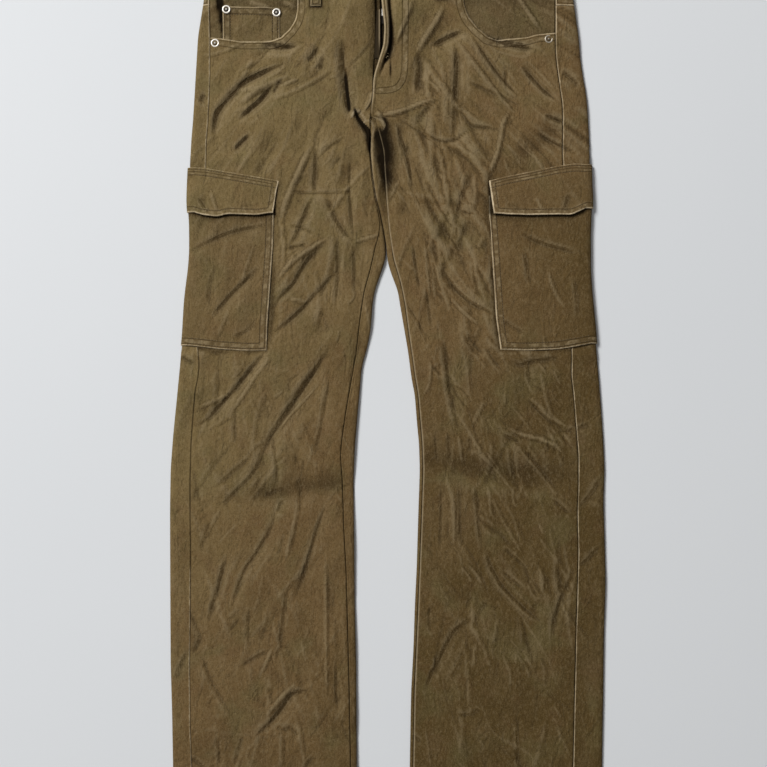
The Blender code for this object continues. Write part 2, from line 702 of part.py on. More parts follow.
RIVET_RADIUS = 5.1
RIVET_PROFILE = (
    (0.0, 0.0), (RIVET_RADIUS, 0.0), (RIVET_RADIUS, 0.7), (4.1, 1.3),
    (2.9, 0.8), (2.0, 0.8), (1.3, 1.5), (0.0, 1.7),
)
RIVET_SEAT = GAP + 0.12  # a flat washer on a panel that slopes a little
BUTTON_PROFILE = (
    (0.0, 0.0), (3.2, 0.0), (3.2, 1.4), (8.3, 1.6), (8.6, 2.4), (7.6, 3.1), (6.4, 2.7), (0.0, 2.9),
)
RivetRow = namedtuple("RivetRow", "leg x y depth")
RIVETS = (
    RivetRow(RIGHT, -194.4, 430.2, STEP_OUT),
    RivetRow(RIGHT, -135.8, 427.3, STEP_OUT),
    RivetRow(RIGHT, -208.0, 389.5, 0.0),
    RivetRow(LEFT, 192.5, 394.5, 0.0),
)


def hardware():
    for number, rivet in enumerate(RIVETS, start=1):
        height = rivet.leg.top(rivet.x, rivet.y) - rivet.depth + RIVET_SEAT
        turned_piece(f"rivet_{number}", RIVET_PROFILE, (rivet.x, rivet.y, height), SILVER)
    x, y = 6.0, FRONT_SEAM_Y + BAND_HEIGHT / 2
    turned_piece("waist_button", BUTTON_PROFILE, (x, y, LEFT.top(x, y) + BAND_PROUD + GAP), SILVER, steps=16)


def main():
    clear_scene()
    for leg, opening, lip in ((RIGHT, RIGHT_OPENING, RIGHT_LIP), (LEFT, LEFT_OPENING, LEFT_LIP)):
        front_panel(leg, opening, lip)
        back_panel(leg)
        yoke(leg)
    waistband()
    belt_loops()
    pocket_facing(RIGHT, RIGHT_OPENING, 2 * STEP_OUT)
    pocket_facing(LEFT, LEFT_OPENING, STEP_OUT)
    coin_pocket()
    cargo_pockets()
    fly()
    hardware()


main()
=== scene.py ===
"""Cargo pants laid flat, front up: cut cloth, creases, stitching and metal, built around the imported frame.

Tables and sizes are in millimetres and meshes in metres. +X is the wearer's left, +Y the waist, +Z up.
"""

import logging
import math
from dataclasses import dataclass
from enum import Enum
from typing import Any, Callable, Sequence

import bmesh
import bpy
import numpy as np
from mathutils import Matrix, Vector


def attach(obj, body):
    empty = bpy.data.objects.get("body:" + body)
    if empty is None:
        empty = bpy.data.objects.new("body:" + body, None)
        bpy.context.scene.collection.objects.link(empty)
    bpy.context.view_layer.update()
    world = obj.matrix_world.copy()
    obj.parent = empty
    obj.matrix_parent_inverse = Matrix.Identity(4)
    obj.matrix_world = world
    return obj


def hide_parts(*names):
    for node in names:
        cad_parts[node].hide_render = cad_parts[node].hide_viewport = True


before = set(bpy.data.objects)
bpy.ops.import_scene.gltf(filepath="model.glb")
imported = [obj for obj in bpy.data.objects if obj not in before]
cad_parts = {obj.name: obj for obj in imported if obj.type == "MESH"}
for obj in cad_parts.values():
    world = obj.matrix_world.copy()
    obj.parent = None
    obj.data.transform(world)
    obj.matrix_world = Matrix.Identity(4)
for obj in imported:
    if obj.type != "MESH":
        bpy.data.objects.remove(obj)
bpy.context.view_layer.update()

LOG = logging.getLogger("pants")
Grid = np.ndarray
Surface = Callable[[Grid, Grid], Grid]
Size = tuple[float, float, float]  # width, length and area of a cut, in metres

MM = 0.001
PLY = 0.9  # wall of one layer of cloth
GAP = 0.3
STEP_OUT = 1.4  # how far a piece's face stands off the piece under it
LEG_HEIGHT, WAIST_EXTRA, POCKET_EXTRA = 5.4, 2.1, 1.5
LOOP_LIFT, LOOP_WIDTH = 1.7, 13.0
POCKET_WRAP, POCKET_REACH = 63.0, 126.0
HEM_Y, HEM_ROW_Y, CROTCH_Y = -518.0, -498.0, 302.0
FRONT_SEAM_Y, SIDE_SEAM_Y, BACK_SEAM_Y, BAND_HEIGHT = 452.0, 454.0, 478.0, 40.0
YOKE_SIDE_Y, YOKE_CENTRE_Y = 435.0, 398.0
FAR = 60.0  # stands for no edge nearby


def smooth(value: Grid, low: float, high: float) -> Grid:
    """A soft step from 0 at low to 1 at high."""
    t = np.clip((np.asarray(value, float) - low) / (high - low), 0.0, 1.0)
    return t * t * (3.0 - 2.0 * t)


def within(value: Grid, low: float, full: float, hold: float, high: float) -> Grid:
    """1 from full to hold, going softly to 0 at low and at high."""
    return smooth(value, low, full) * (1.0 - smooth(value, hold, high))


def mix(a: Grid, b: Grid, t: Grid) -> Grid:
    """The value that lies the share t of the way from a to b."""
    return a + (b - a) * t


def bump(value: Grid, middle: float, width: float) -> Grid:
    """A soft bump of height 1."""
    return np.exp(-(((value - middle) / width) ** 2))


def fading(value: Grid, reach: float) -> Grid:
    """1 up to 0, then dying away over the reach."""
    return np.exp(-np.maximum(value, 0.0) / reach)


def spread(length: float, step: float, start: Sequence[float] = (), end: Sequence[float] = ()) -> Grid:
    """Rising shares from 0 to 1 for the lines of a grid.

    Args:
        length, step: the whole length, and the distance between lines away from the ends.
        start, end: distances of the closer lines from each end.
    """
    first, last = max(start, default=0.0), length - max(end, default=0.0)
    count = max(int(round((last - first) / step)), 1)
    lines = [0.0, *start, *np.linspace(first, last, count + 1)[1:-1], *(length - d for d in end), length]
    return np.unique(np.round(lines, 4)) / length


class Line:
    """One value down the garment, smooth between a few (y, value) pairs; or across it, with x in place of y."""

    def __init__(self, *flat: float, soft: float = 12.0) -> None:
        """flat holds y, value, y, value and so on; soft is the reach of the rounding."""
        pairs = np.array(flat, float).reshape(-1, 2)
        pairs = pairs[np.argsort(pairs[:, 0])]
        step = 2.0
        self.at = np.arange(-560.0, 560.0, step)
        reach = max(int(soft / step), 1)
        kernel = np.hanning(2 * reach + 3)[1:-1]
        raw = np.pad(np.interp(self.at, pairs[:, 0], pairs[:, 1]), reach, "edge")
        self.values = np.convolve(raw, kernel / kernel.sum(), "valid")

    def __call__(self, at: Grid) -> Grid:
        """The value at each y."""
        return np.interp(at, self.at, self.values)


class Path:
    """A smooth open path in the plane through a few corner points."""

    def __init__(self, *flat: float, rounds: int = 2) -> None:
        """flat holds x, y, x, y and so on; each round cuts the corners once."""
        points = np.array(flat, float).reshape(-1, 2)
        for _ in range(rounds if len(points) > 2 else 0):
            a, b = points[:-1], points[1:]
            cut = np.stack([a * 0.75 + b * 0.25, a * 0.25 + b * 0.75], axis=1).reshape(-1, 2)
            points = np.vstack([points[:1], cut[1:-1], points[-1:]])
        self.points = points

    @classmethod
    def through(cls, x: Grid, y: Grid) -> "Path":
        """A path through many points, its corners kept."""
        return cls(*np.column_stack([x, y]).ravel(), rounds=0)

    @classmethod
    def down(cls, line: Line, start: float, end: float, shift: float) -> "Path":
        """A path down a line of x over y, shifted sideways."""
        y = np.linspace(start, end, 24)
        return cls.through(line(y) + shift, y)

    @classmethod
    def across(cls, line: Line, start: float, end: float, shift: float) -> "Path":
        """A path along a line of y over x, shifted up or down."""
        x = np.linspace(start, end, 24)
        return cls.through(x, line(x) + shift)

    def beside(self, distance: float) -> Grid:
        """The path's points, moved to its right."""
        step = np.gradient(self.points, axis=0)
        return self.points + distance * np.column_stack([step[:, 1], -step[:, 0]]) / np.hypot(*step.T)[:, None]

    def nearest(self, x: Grid, y: Grid) -> tuple[Grid, Grid]:
        """Distance from the path, positive to its left, and the share of its length at its nearest point."""
        steps = np.diff(self.points, axis=0)
        lengths = np.hypot(*steps.T)
        total, done = lengths.sum(), 0.0
        best, side, share = (np.full(np.shape(x), v) for v in (np.inf, 1.0, 0.0))
        for (ax, ay), (dx, dy), length in zip(self.points, steps, lengths):
            t = np.clip(((x - ax) * dx + (y - ay) * dy) / length**2, 0.0, 1.0)
            ex, ey = x - ax - t * dx, y - ay - t * dy
            squared = ex * ex + ey * ey
            closer = squared < best
            best = np.where(closer, squared, best)
            side = np.where(closer, np.where(dx * ey - dy * ex < 0, -1.0, 1.0), side)
            share = np.where(closer, (done + t * length) / total, share)
            done += length
        return np.sqrt(best) * side, share

    def walk(self, pitch: float) -> Grid:
        """Points a pitch apart along the path."""
        run = np.concatenate([[0.0], np.cumsum(np.hypot(*np.diff(self.points, axis=0).T))])
        at = np.arange(pitch / 2, run[-1], pitch)
        return np.column_stack([np.interp(at, run, self.points[:, i]) for i in (0, 1)])


class Grain:
    """Smooth repeatable unevenness over the plane."""

    count = 64  # values each way before they repeat

    def __init__(self, seed: int) -> None:
        """Draws the values."""
        self.table = np.random.default_rng(seed).uniform(-1.0, 1.0, (self.count, self.count))

    def at(self, i: Grid, j: Grid) -> Grid:
        """The value of each cell's corner."""
        return self.table[i % self.count, j % self.count]

    @staticmethod
    def cells(x: Grid, y: Grid, wide: float, high: float) -> tuple[Grid, Grid, Grid, Grid]:
        """Each point's cell, across and up, and its place in it."""
        u, v = x / wide, y / high
        i, j = np.floor(u).astype(int), np.floor(v).astype(int)
        return i, j, u - i, v - j

    def __call__(self, x: Grid, y: Grid, size: float) -> Grid:
        """Values from -1 to 1 that change over about the size."""
        i, j, f, g = self.cells(x, y, size, size)
        f, g = smooth(f, 0, 1), smooth(g, 0, 1)
        low, high = (mix(self.at(i, j + b), self.at(i + 1, j + b), f) for b in (0, 1))
        return mix(low, high, g)

    def facets(self, x: Grid, y: Grid, size: float, stretch: float) -> Grid:
        """Shallow bowls that meet in ridges, as crumpled cloth has, from about -1 to 1."""
        i, j, f, g = self.cells(x, y, size, size * stretch)
        near = np.full(np.shape(f), np.inf)
        for a in (-1, 0, 1):
            for b in (-1, 0, 1):
                px = a + 0.5 + 0.45 * self.at(i + a, j + b)
                py = b + 0.5 + 0.45 * self.at(i + a + 17, j + b + 31)
                near = np.minimum(near, (f - px) ** 2 + (g - py) ** 2)
        return np.clip(near * 2.4 - 0.6, -1.0, 1.4)

    def planes(self, x: Grid, y: Grid, size: float, stretch: float) -> Grid:
        """Flat triangles that meet in straight edges, from -1 to 1."""
        i, j, f, g = self.cells(x, y, size, size * stretch)
        low, right, left, high = (self.at(i + a, j + b) for a, b in ((0, 0), (1, 0), (0, 1), (1, 1)))
        rising = low + np.where(f > g, f * (right - low) + g * (high - right), g * (left - low) + f * (high - left))
        near = low + f * (right - low) + g * (left - low)
        beyond = high + (1 - f) * (left - high) + (1 - g) * (right - high)
        return np.where(self.at(i + 5, j + 9) > 0.0, rising, np.where(f + g < 1.0, near, beyond))


DENT_AT = tuple(np.arange(-2.4, 2.9, 0.15))


class Press(Enum):
    """A crease's section: distances from its middle in half widths, lit side positive, and its height there."""

    TROUGH = (-3.4, -1.5, 0.0, 1.0, 1.8), (0.0, 0.36, 1.0, 0.1, 0.0)
    RIDGE = (-2.4, -0.8, 0.0, 0.9, 2.8), (0.0, 0.16, 1.0, 0.35, 0.0)
    FOLD = (-2.8, -1.1, 0.0, 1.3, 3.4), (0.0, -0.14, 1.0, 0.45, 0.0)
    DENT = DENT_AT, tuple(math.exp(-((at / (1.2 if at > 0 else 1.0)) ** 2)) for at in DENT_AT)


@dataclass(frozen=True)
class Crease:
    """One crease: its height, negative where it is sunk, its half width and its path."""

    press: Press
    rise: float
    width: float
    path: Path

    def press_into(self, total: Grid, near: Grid, mark: Grid, x: Grid, y: Grid) -> None:
        """Adds the crease to flat arrays.

        Args:
            total: heights.
            near: signed distance to the nearest crease's middle, positive on its lit side.
            mark: how strong that crease is there, negative where it is sunk.
            x, y: the points.
        """
        at, heights = self.press.value
        reach = 3.4 * self.width + 2.0
        low, high = self.path.points.min(axis=0) - reach, self.path.points.max(axis=0) + reach
        here = np.nonzero((x > low[0]) & (x < high[0]) & (y > low[1]) & (y < high[1]))[0]
        if not here.size:
            return
        away, share = self.path.nearest(x[here], y[here])
        lit = away if (self.path.points[-1] - self.path.points[0]).sum() > 0 else -away
        taper = smooth(np.minimum(share, 1.0 - share), -0.03, 0.28)
        total[here] += self.rise * taper * np.interp(lit / (self.width * (0.55 + 0.45 * taper)), at, heights)
        if self.press is Press.DENT:
            return
        weakness = 4.0  # distance that a crease of no strength is set back by, against its neighbours
        closer = np.abs(lit) + weakness * (1.0 - taper) < np.abs(near[here]) + weakness * (1.0 - np.abs(mark[here]))
        near[here] = np.where(closer, lit, near[here])
        strength = min(abs(self.rise) / 2.4, 1.0) * min(5.0 / self.width, 1.0)
        mark[here] = np.where(closer, math.copysign(strength, self.rise) * taper, mark[here])


def trough(depth: float, width: float, *flat: float) -> Crease:
    """A sunken crease: steep on its lit side, or broad and soft if it is wide."""
    if width > 11.0:
        return Crease(Press.DENT, -1.6 * depth, width, Path(*flat))
    return Crease(Press.TROUGH, -1.4 * depth, 0.8 * width, Path(*flat))


def ridge(height: float, width: float, *flat: float) -> Crease:
    """A pinched raised crease."""
    return Crease(Press.RIDGE, 1.1 * height, 0.66 * width, Path(*flat))


def fold(height: float, width: float, *flat: float) -> Crease:
    """A raised crease that falls steeply on its shaded side."""
    return Crease(Press.FOLD, 1.15 * height, 0.66 * width, Path(*flat))


class Relief:
    """Everything pressed into one cloth: its creases, facets and slow unevenness."""

    def __init__(
        self, seed: int, creases: Sequence[Crease], facets: float = 1.1, waves: float = 1.5, depth: Line = Line(0, 1)
    ) -> None:
        """depth is how deep everything goes, over y."""
        self.grain, self.warp = Grain(seed), Grain(seed + 1)
        self.creases, self.facets, self.waves, self.depth = list(creases), facets, waves, depth

    def __call__(self, x: Grid, y: Grid) -> Grid:
        """Height over the smooth cloth at each point."""
        return self.read(x, y)[0]

    def read(self, x: Grid, y: Grid) -> tuple[Grid, Grid, Grid]:
        """Height over the smooth cloth, distance to the nearest crease's middle, and that crease's strength."""
        shape = np.broadcast(x, y).shape
        x, y = (np.broadcast_to(v, shape).astype(float).ravel() for v in (x, y))
        total, near, mark = np.zeros(x.shape), np.full(x.shape, FAR), np.zeros(x.shape)
        for crease in self.creases:
            crease.press_into(total, near, mark, x, y)
        wy = y + 22.0 * self.warp(y, x, 80.0)
        strength = 0.7 + 0.5 * self.grain(x, y, 110.0)
        small = 1.65 * (0.6 + 0.55 * self.grain(y, x, 75.0))
        above = smooth(y, 265, 325)  # past the crotch the facets fan from the waist, below it from the crotch
        hip = smooth(np.abs(x), 95.0, 125.0) * within(y, 228.0, 250.0, 318.0, 345.0)
        calm = (1.0 - 0.38 * smooth(y, 235.0, 330.0)) * (1.0 - 0.45 * hip)
        fans = (0.3 + 84.0 / np.maximum(530.0 - y, 60.0), 0.45 + 220.0 / np.maximum(450.0 - y, 60.0))
        for share, spreading in zip((above, 1.0 - above), fans):
            wx = x * spreading + 15.0 * self.warp(x, y, 70.0)
            pressed = 0.6 * strength * self.grain.facets(wx, wy, 27.0, 2.6)
            pressed += small * self.warp.planes(wx + 0.3 * wy, wy, 21.0, 2.8)
            total += self.facets * share * pressed * calm
        total += self.waves * (self.grain(x, y, 55.0) + 0.35 * self.warp(x, y, 26.0))
        depth = self.depth(y)
        return (total * depth).reshape(shape), near.reshape(shape), (mark * depth.clip(0.0, 1.0)).reshape(shape)


@dataclass(frozen=True)
class Leg:
    """The form of one half of the garment: a flattened tube with a rounded fold at each edge."""

    name: str
    way: int  # from the middle towards this leg's outer edge
    outer: Line
    side: Line
    inseam: Line
    inner: Line
    roll: Line  # how wide the inner fold is
    rise: Line  # where the front ends at the fly
    rise_z: Line
    seat: Line
    pocket_edge: Line
    flap_edge: Line
    opening: Line  # x of the hand pocket's upright edge over y
    lip: Line  # y of its lower edge over x
    lip_y: float  # where the one turns into the other
    loop: tuple[float, float]  # middle and lower end of the front belt loop
    dents: tuple[tuple[Path, float, float], ...]  # broad soft dents: path, darkness of their painted shade, half width
    relief: Relief
    under_relief: Relief
    valley: Line = Line(0, 0)  # the deep fold beside the fly's standing edge

    def covered(self, x: Grid, y: Grid, reach: float) -> Grid:
        """1 under the cargo pocket, as far as its reach from the outer edge, 0 away from it."""
        return (1.0 - smooth(np.abs(x - self.outer(y)), reach, reach + 18.0)) * within(y, 2, 16, 250, 262)

    def hidden(self, x: Grid, y: Grid) -> Grid:
        """1 where the cargo pocket and flap lie over the leg."""
        return smooth(self.way * (x - self.pocket_edge(y)), -5.0, 1.0) * within(y, 17, 25, 226, 246)

    def bed(self, x: Grid, y: Grid) -> Grid:
        """Height of the underside: flat, but for what it lies on."""
        wrapped = self.covered(x, y, POCKET_WRAP + 3.0)
        return LOOP_LIFT * smooth(y, 405, 441) + STEP_OUT * wrapped * (1.0 + smooth(y, 162, 180))

    def level(self, x: Grid, y: Grid) -> Grid:
        """Height of the upper face without its creases."""
        base = LEG_HEIGHT + WAIST_EXTRA * smooth(y, 395, 448) + POCKET_EXTRA * self.covered(x, y, POCKET_REACH)
        near = (1.0 - smooth(np.abs(x - self.rise(y)), 30.0, 66.0)) * smooth(y, 125, 200)
        return mix(base, self.rise_z(y), near)

    def standing(self, x: Grid, y: Grid) -> Grid:
        """Height added beside the fly, where the edge stands up next to a deep fold."""
        into = self.way * (x - self.rise(y))
        if self.way < 0:
            return -2.4 * fading(into, 2.6) * smooth(y, 345, 372)
        q = (x - self.rise(y)) / (self.valley(y) - self.rise(y))
        knots = (-0.2, 0.0, 0.12, 0.3, 0.5, 0.6, 0.8, 1.0, 1.25, 1.6, 2.3, 3.4)
        rises = (0.6, 1.5, 2.7, 1.9, 2.7, 2.0, -1.6, -4.2, -2.6, -0.4, 0.3, 0.0)
        lower = 1.1 * bump(into, 1.2, 1.6) * within(y, 296, 312, 345, 376)
        return np.interp(q, knots, rises) * smooth(y, 345, 378) + lower - self.gully(x, y)

    def crotch(self, x: Grid, y: Grid) -> tuple[Grid, Grid]:
        """How dark the painted shade lies, past 1 for the darkest, and how pale the cloth lies round the point where
        the four panels meet: painted shade in the hole, the gully, beside the leaf and in the valley; painted
        highlights on the crests and the leaf, and a pale line round the hook.
        """
        (hole, along), (crest, _), (leaf, tip), (hook, _), (valley, down) = (
            path.nearest(x, y) for path in (CROTCH_HOLE, CROTCH_CREST, CROTCH_LEAF, CROTCH_HOOK, RISE_VALLEY)
        )
        across = x - LEFT_INSEAM(y)
        width = mix(np.where(across < 0, 6.5, 11.0), np.where(across < 0, 14.0, 16.0), smooth(y, 228, 262))
        window = smooth(y, 192, 236) * (1.0 - np.where(across < 5.0, smooth(y, 283, 294), smooth(y, 292, 306)))
        deep = (2.1 + 0.35 * LEFT.relief.grain(x, y, 9.0)) * np.exp(-((across / width) ** 2)) * window
        deep = deep * smooth(x - RIGHT_INNER(y), 0.4, 6.0) * (1.0 - 0.5 * bump(across, 0.9, 0.7))
        ends = smooth(np.minimum(tip, 1.0 - tip), -0.05, 0.15)
        deep += 1.5 * fading(leaf, 3.4) * smooth(leaf, -0.3, 0.5) * ends * (leaf < 14.0)
        deep = deep * (1.0 - 0.85 * bump(leaf, -1.9, 2.4) * ends) * (1.0 - bump(crest, 0.0, 1.9))
        taper = smooth(np.minimum(along + 0.1, 1.0 - along), -0.02, 0.16)
        reach = 3.0 + 3.2 * within(y, 266, 280, 287, 300)
        deep += 3.0 * smooth(-hole, -0.8, 0.5) * bump(np.maximum(-hole, 1.2), 1.2, reach) * taper
        sunk = within(down, 0.1, 0.62, 0.86, 0.98)
        deep += 2.1 * smooth(-valley, -0.9, 0.6) * bump(np.maximum(-valley, 1.4), 1.4, 3.0) * sunk
        return deep, 0.26 * bump(crest, 0.0, 1.2) + 0.22 * bump(leaf, -0.8, 0.9) * ends + 0.36 * bump(hook, 0.0, 0.8)

    def gully(self, x: Grid, y: Grid) -> Grid:
        """Depth of the valley down the inseam below the crotch, beside the inner fold's crest."""
        across = x - self.inseam(y) - 3.0
        crest = 1.2 * bump(x, self.inner(y) + 2.6, 2.4)
        return within(y, 150, 225, 286, 303) * (3.2 * bump(across, 0.0, np.where(across > 0, 9.0, 7.0)) - crest)

    def top(self, x: Grid, y: Grid) -> Grid:
        """Height of the upper face with everything pressed into it."""
        calm = (0.35 + 0.65 * smooth(np.abs(x - self.outer(y)), 3, 16)) * (1.0 - 0.75 * smooth(y, 436, 452))
        calm = calm * (0.3 + 0.7 * smooth(y, HEM_Y, HEM_Y + 24))
        hidden = self.hidden(x, y)
        raised = self.relief(x, y) * calm * (1.0 - hidden) - 0.8 * hidden
        deepest = 0.9 * self.gully(x, y) - 2.6 if self.way > 0 else -2.6
        return self.level(x, y) + self.standing(x, y) + np.maximum(raised, deepest)

    def underside(self, x: Grid, y: Grid, *edges: Grid) -> Grid:
        """Height of the underside, with the creases that lie clear of the surface, and flat beside some edges."""
        clear = np.clip(self.under_relief(x, y), 0.0, 1.5) * (1.0 - self.covered(x, y, POCKET_WRAP + 6.0))
        for edge in edges:
            clear = clear * (1.0 - smooth(np.abs(x - edge), 8, 0))
        return self.bed(x, y) + clear

    def outer_roll(self, y: Grid) -> Grid:
        """How wide the outer fold is."""
        return np.minimum(6.5, 0.6 * np.abs(self.outer(y) - self.side(y)))

    def around(self, edge: Grid, roll: Grid, way: int, degrees: Grid, y: Grid, out: float = 0.0) -> tuple[Grid, Grid]:
        """x and z of points on a rounded fold.

        Args:
            edge, roll: x of the edge, and how wide the fold is.
            way: the side that the edge faces, 1 or -1.
            degrees: 90 is the fold's top, -90 its underside.
            y: heights on the garment.
            out: how far the points stand off the fold.
        """
        inside, turn = edge - way * roll, np.radians(degrees)
        high, low = self.top(inside, y), self.bed(inside, y)
        x = inside + way * (roll + out) * np.cos(turn)
        return x, (low + high) / 2.0 + ((high - low) / 2.0 + out) * np.sin(turn)


LONG, SHORT = ((24.0, 58.0), 0.16, (0.6, 1.5), (5.0, 10.5)), ((8.0, 26.0), 0.28, (0.35, 1.0), (2.4, 5.5))


def scattered(seed: int, side: Line, inner: Line, count: int, strength: float) -> list[Crease]:
    """Small creases between the main ones, fanning from the waist's middle over the hips and from the crotch below.

    Args:
        seed: of the draw.
        side, inner: the edges that they lie between.
        count: how many are drawn; those on the calm parts of the hips are left out.
        strength: of the deepest.
    """
    rng = np.random.default_rng(seed)
    creases = []
    for number in range(count):
        halves, bends, heights, widths = LONG if number % 2 else SHORT
        y = rng.uniform(-505.0, 430.0)
        x = mix(float(side(y)), float(inner(y)), rng.uniform(0.05, 0.95))
        heading = math.atan2(y - (455.0 if y > 290.0 else 330.0), x * 0.8) + rng.normal(0.0, 0.34)
        half, bend = rng.uniform(*halves), rng.normal(0.0, bends)
        ways = ((-half, heading - bend), (0.0, 0.0), (half, heading + bend))
        flat = [c for s, a in ways for c in (x + s * math.cos(a), y + s * math.sin(a))]
        make = (trough, trough, fold, fold, ridge)[rng.integers(5)]
        height, width = rng.uniform(*heights), rng.uniform(*widths)
        if max(flat[1::2]) < 402.0 and not (abs(x) > 105.0 and 232.0 < y < 330.0):
            creases.append(make(strength * height, width, *flat))
    return creases


RIGHT_CREASES = (
    trough(1.9, 6.5, -121, 367, -135, 361, -150, 354, -170, 345, -185, 334, -203, 311, -208, 300, -211, 270),
    fold(1.0, 7, -116, 352, -150, 341, -182, 316),
    trough(1.5, 5, -138, 342, -150, 324, -166, 310, -181, 297),
    trough(0.9, 3, -128, 348, -140, 328),
    ridge(0.8, 4, -127, 340, -109, 347),
    trough(1.0, 4, -99, 368, -90, 374, -84, 387),
    trough(0.8, 3.5, -84, 357, -78, 376),
    trough(2.2, 3.6, -155, 389.5, -142, 386.5, -123, 385, -108, 387),
    trough(1.2, 3.5, -166, 281, -186, 261),
    trough(0.8, 3, -227, 318, -221, 331),
    trough(2.2, 11, -56, 396, -53, 360, -50, 332, -47, 300),
    trough(1.8, 4.5, -51, 362, -50, 340, -47, 302),
    trough(2.2, 4.5, -40, 308, -35, 299, -28, 290, -23, 276),
    ridge(1.6, 3, -45, 301, -40, 309, -33, 307),
    ridge(1.2, 3, -30, 309, -26, 313, -21, 322, -20, 334),
    fold(1.3, 5, -171, 441, -156, 436, -141, 433),
    fold(1.3, 5, -129, 441, -118, 437, -111, 433),
    ridge(1.6, 8, -90, 273, -108, 235, -126, 193, -131, 170),
    trough(0.6, 2.6, -122, 214, -101, 210, -71, 210, -39, 213),
    trough(1.0, 6, -88, 267, -87, 241, -90, 207),
    trough(1.0, 5, -45, 254, -47, 219, -44, 182, -41, 152),
    trough(1.1, 6, -77, 209, -67, 186, -53, 163, -40, 149),
    trough(1.1, 6, -90, 210, -97, 191, -114, 150, -123, 141),
    ridge(0.8, 4, -130, 180, -126, 149, -125, 124),
    trough(0.8, 4, -119, 172, -101, 167, -89, 162),
    trough(0.9, 5, -122, 142, -108, 147, -96, 147),
    ridge(1.2, 6, -72, 158, -108, 134, -123, 121, -134, 104),
    trough(1.2, 5, -77, 150, -99, 128, -114, 99, -128, 88, -140, 69),
    trough(1.1, 5, -59, 120, -80, 97, -95, 80, -112, 62, -140, 41),
    ridge(0.7, 4, -123, 85, -95, 79),
    trough(0.9, 5, -62, 160, -60, 117, -63, 67),
    trough(0.8, 5, -42, 151, -40, 121, -41, 86),
    ridge(0.8, 4, -42, 152, -10, 161),
    trough(0.6, 12, -140, 51, -56, 49),
    trough(0.9, 4, -250, 16, -245, 12, -232, 5),
    trough(1.4, 4.5, -146, 23, -160, 5, -175, -14, -190, -33, -205, -47, -215, -60, -235, -70),
    ridge(0.9, 4, -140, 16, -158, -6, -175, -33, -193, -58),
    ridge(0.9, 5, -189, -30, -229, -47),
    trough(1.9, 8, -70, 26, -84, 2, -100, -22, -116, -46, -130, -66, -144, -88, -156, -112),
    ridge(0.7, 3, -83, -18, -93, -30, -118, -55, -138, -83),
    trough(0.9, 7, -72, 10, -71, -12, -76, -50, -84, -90, -97, -124),
    trough(0.8, 4, -185, -37, -184, -60, -185, -93),
    trough(0.8, 3, -140, -82, -137, -100, -134, -125, -134, -143),
    trough(1.0, 6, -148, -97, -160, -125, -175, -140, -190, -155, -201, -168),
    trough(0.7, 6, -162, -102, -180, -120, -208, -143),
    trough(1.7, 14, -178, -153, -140, -149, -110, -145, -80, -141, -34, -138),
    trough(0.8, 4, -127, -157, -134, -175),
    trough(1.1, 5, -134, -172, -145, -200, -160, -225, -172, -240, -180, -262, -191, -293),
    trough(0.7, 5, -214, -182, -226, -220),
    trough(1.1, 4, -74, -162, -85, -190, -92, -217, -98, -235, -110, -266),
    trough(1.4, 5, -194, -221, -203, -262, -208, -275, -217, -307),
    trough(0.9, 4, -239, -287, -233, -305, -227, -318, -226, -325, -237, -345),
    trough(0.9, 4, -240, -337, -259, -378),
    trough(0.9, 5, -226, -342, -213, -378, -188, -418),
    trough(0.8, 5, -168, -287, -168, -338),
    trough(0.8, 4, -143, -338, -165, -350, -177, -357),
    trough(0.9, 5, -121, -262, -126, -300, -131, -343),
    ridge(1.3, 7, -75, -208, -75, -300, -74, -408),
    trough(1.1, 5, -62, -343, -62, -380, -61, -417),
    ridge(0.8, 5, -138, -332, -156, -373),
    trough(1.6, 5, -93, -384, -115, -390, -122, -400, -130, -412, -140, -424, -150, -432, -163, -444),
    ridge(1.3, 6, -111, -377, -132, -398, -148, -418),
    trough(0.9, 4, -123, -427, -106, -442),
    trough(0.8, 4, -137, -431, -119, -434),
    trough(0.8, 4, -174, -437, -186, -478),
    trough(0.7, 3, -205, -439, -203, -481),
    trough(0.8, 4, -237, -466, -218, -482),
    trough(1.0, 6, -88, -462, -116, -505),
)
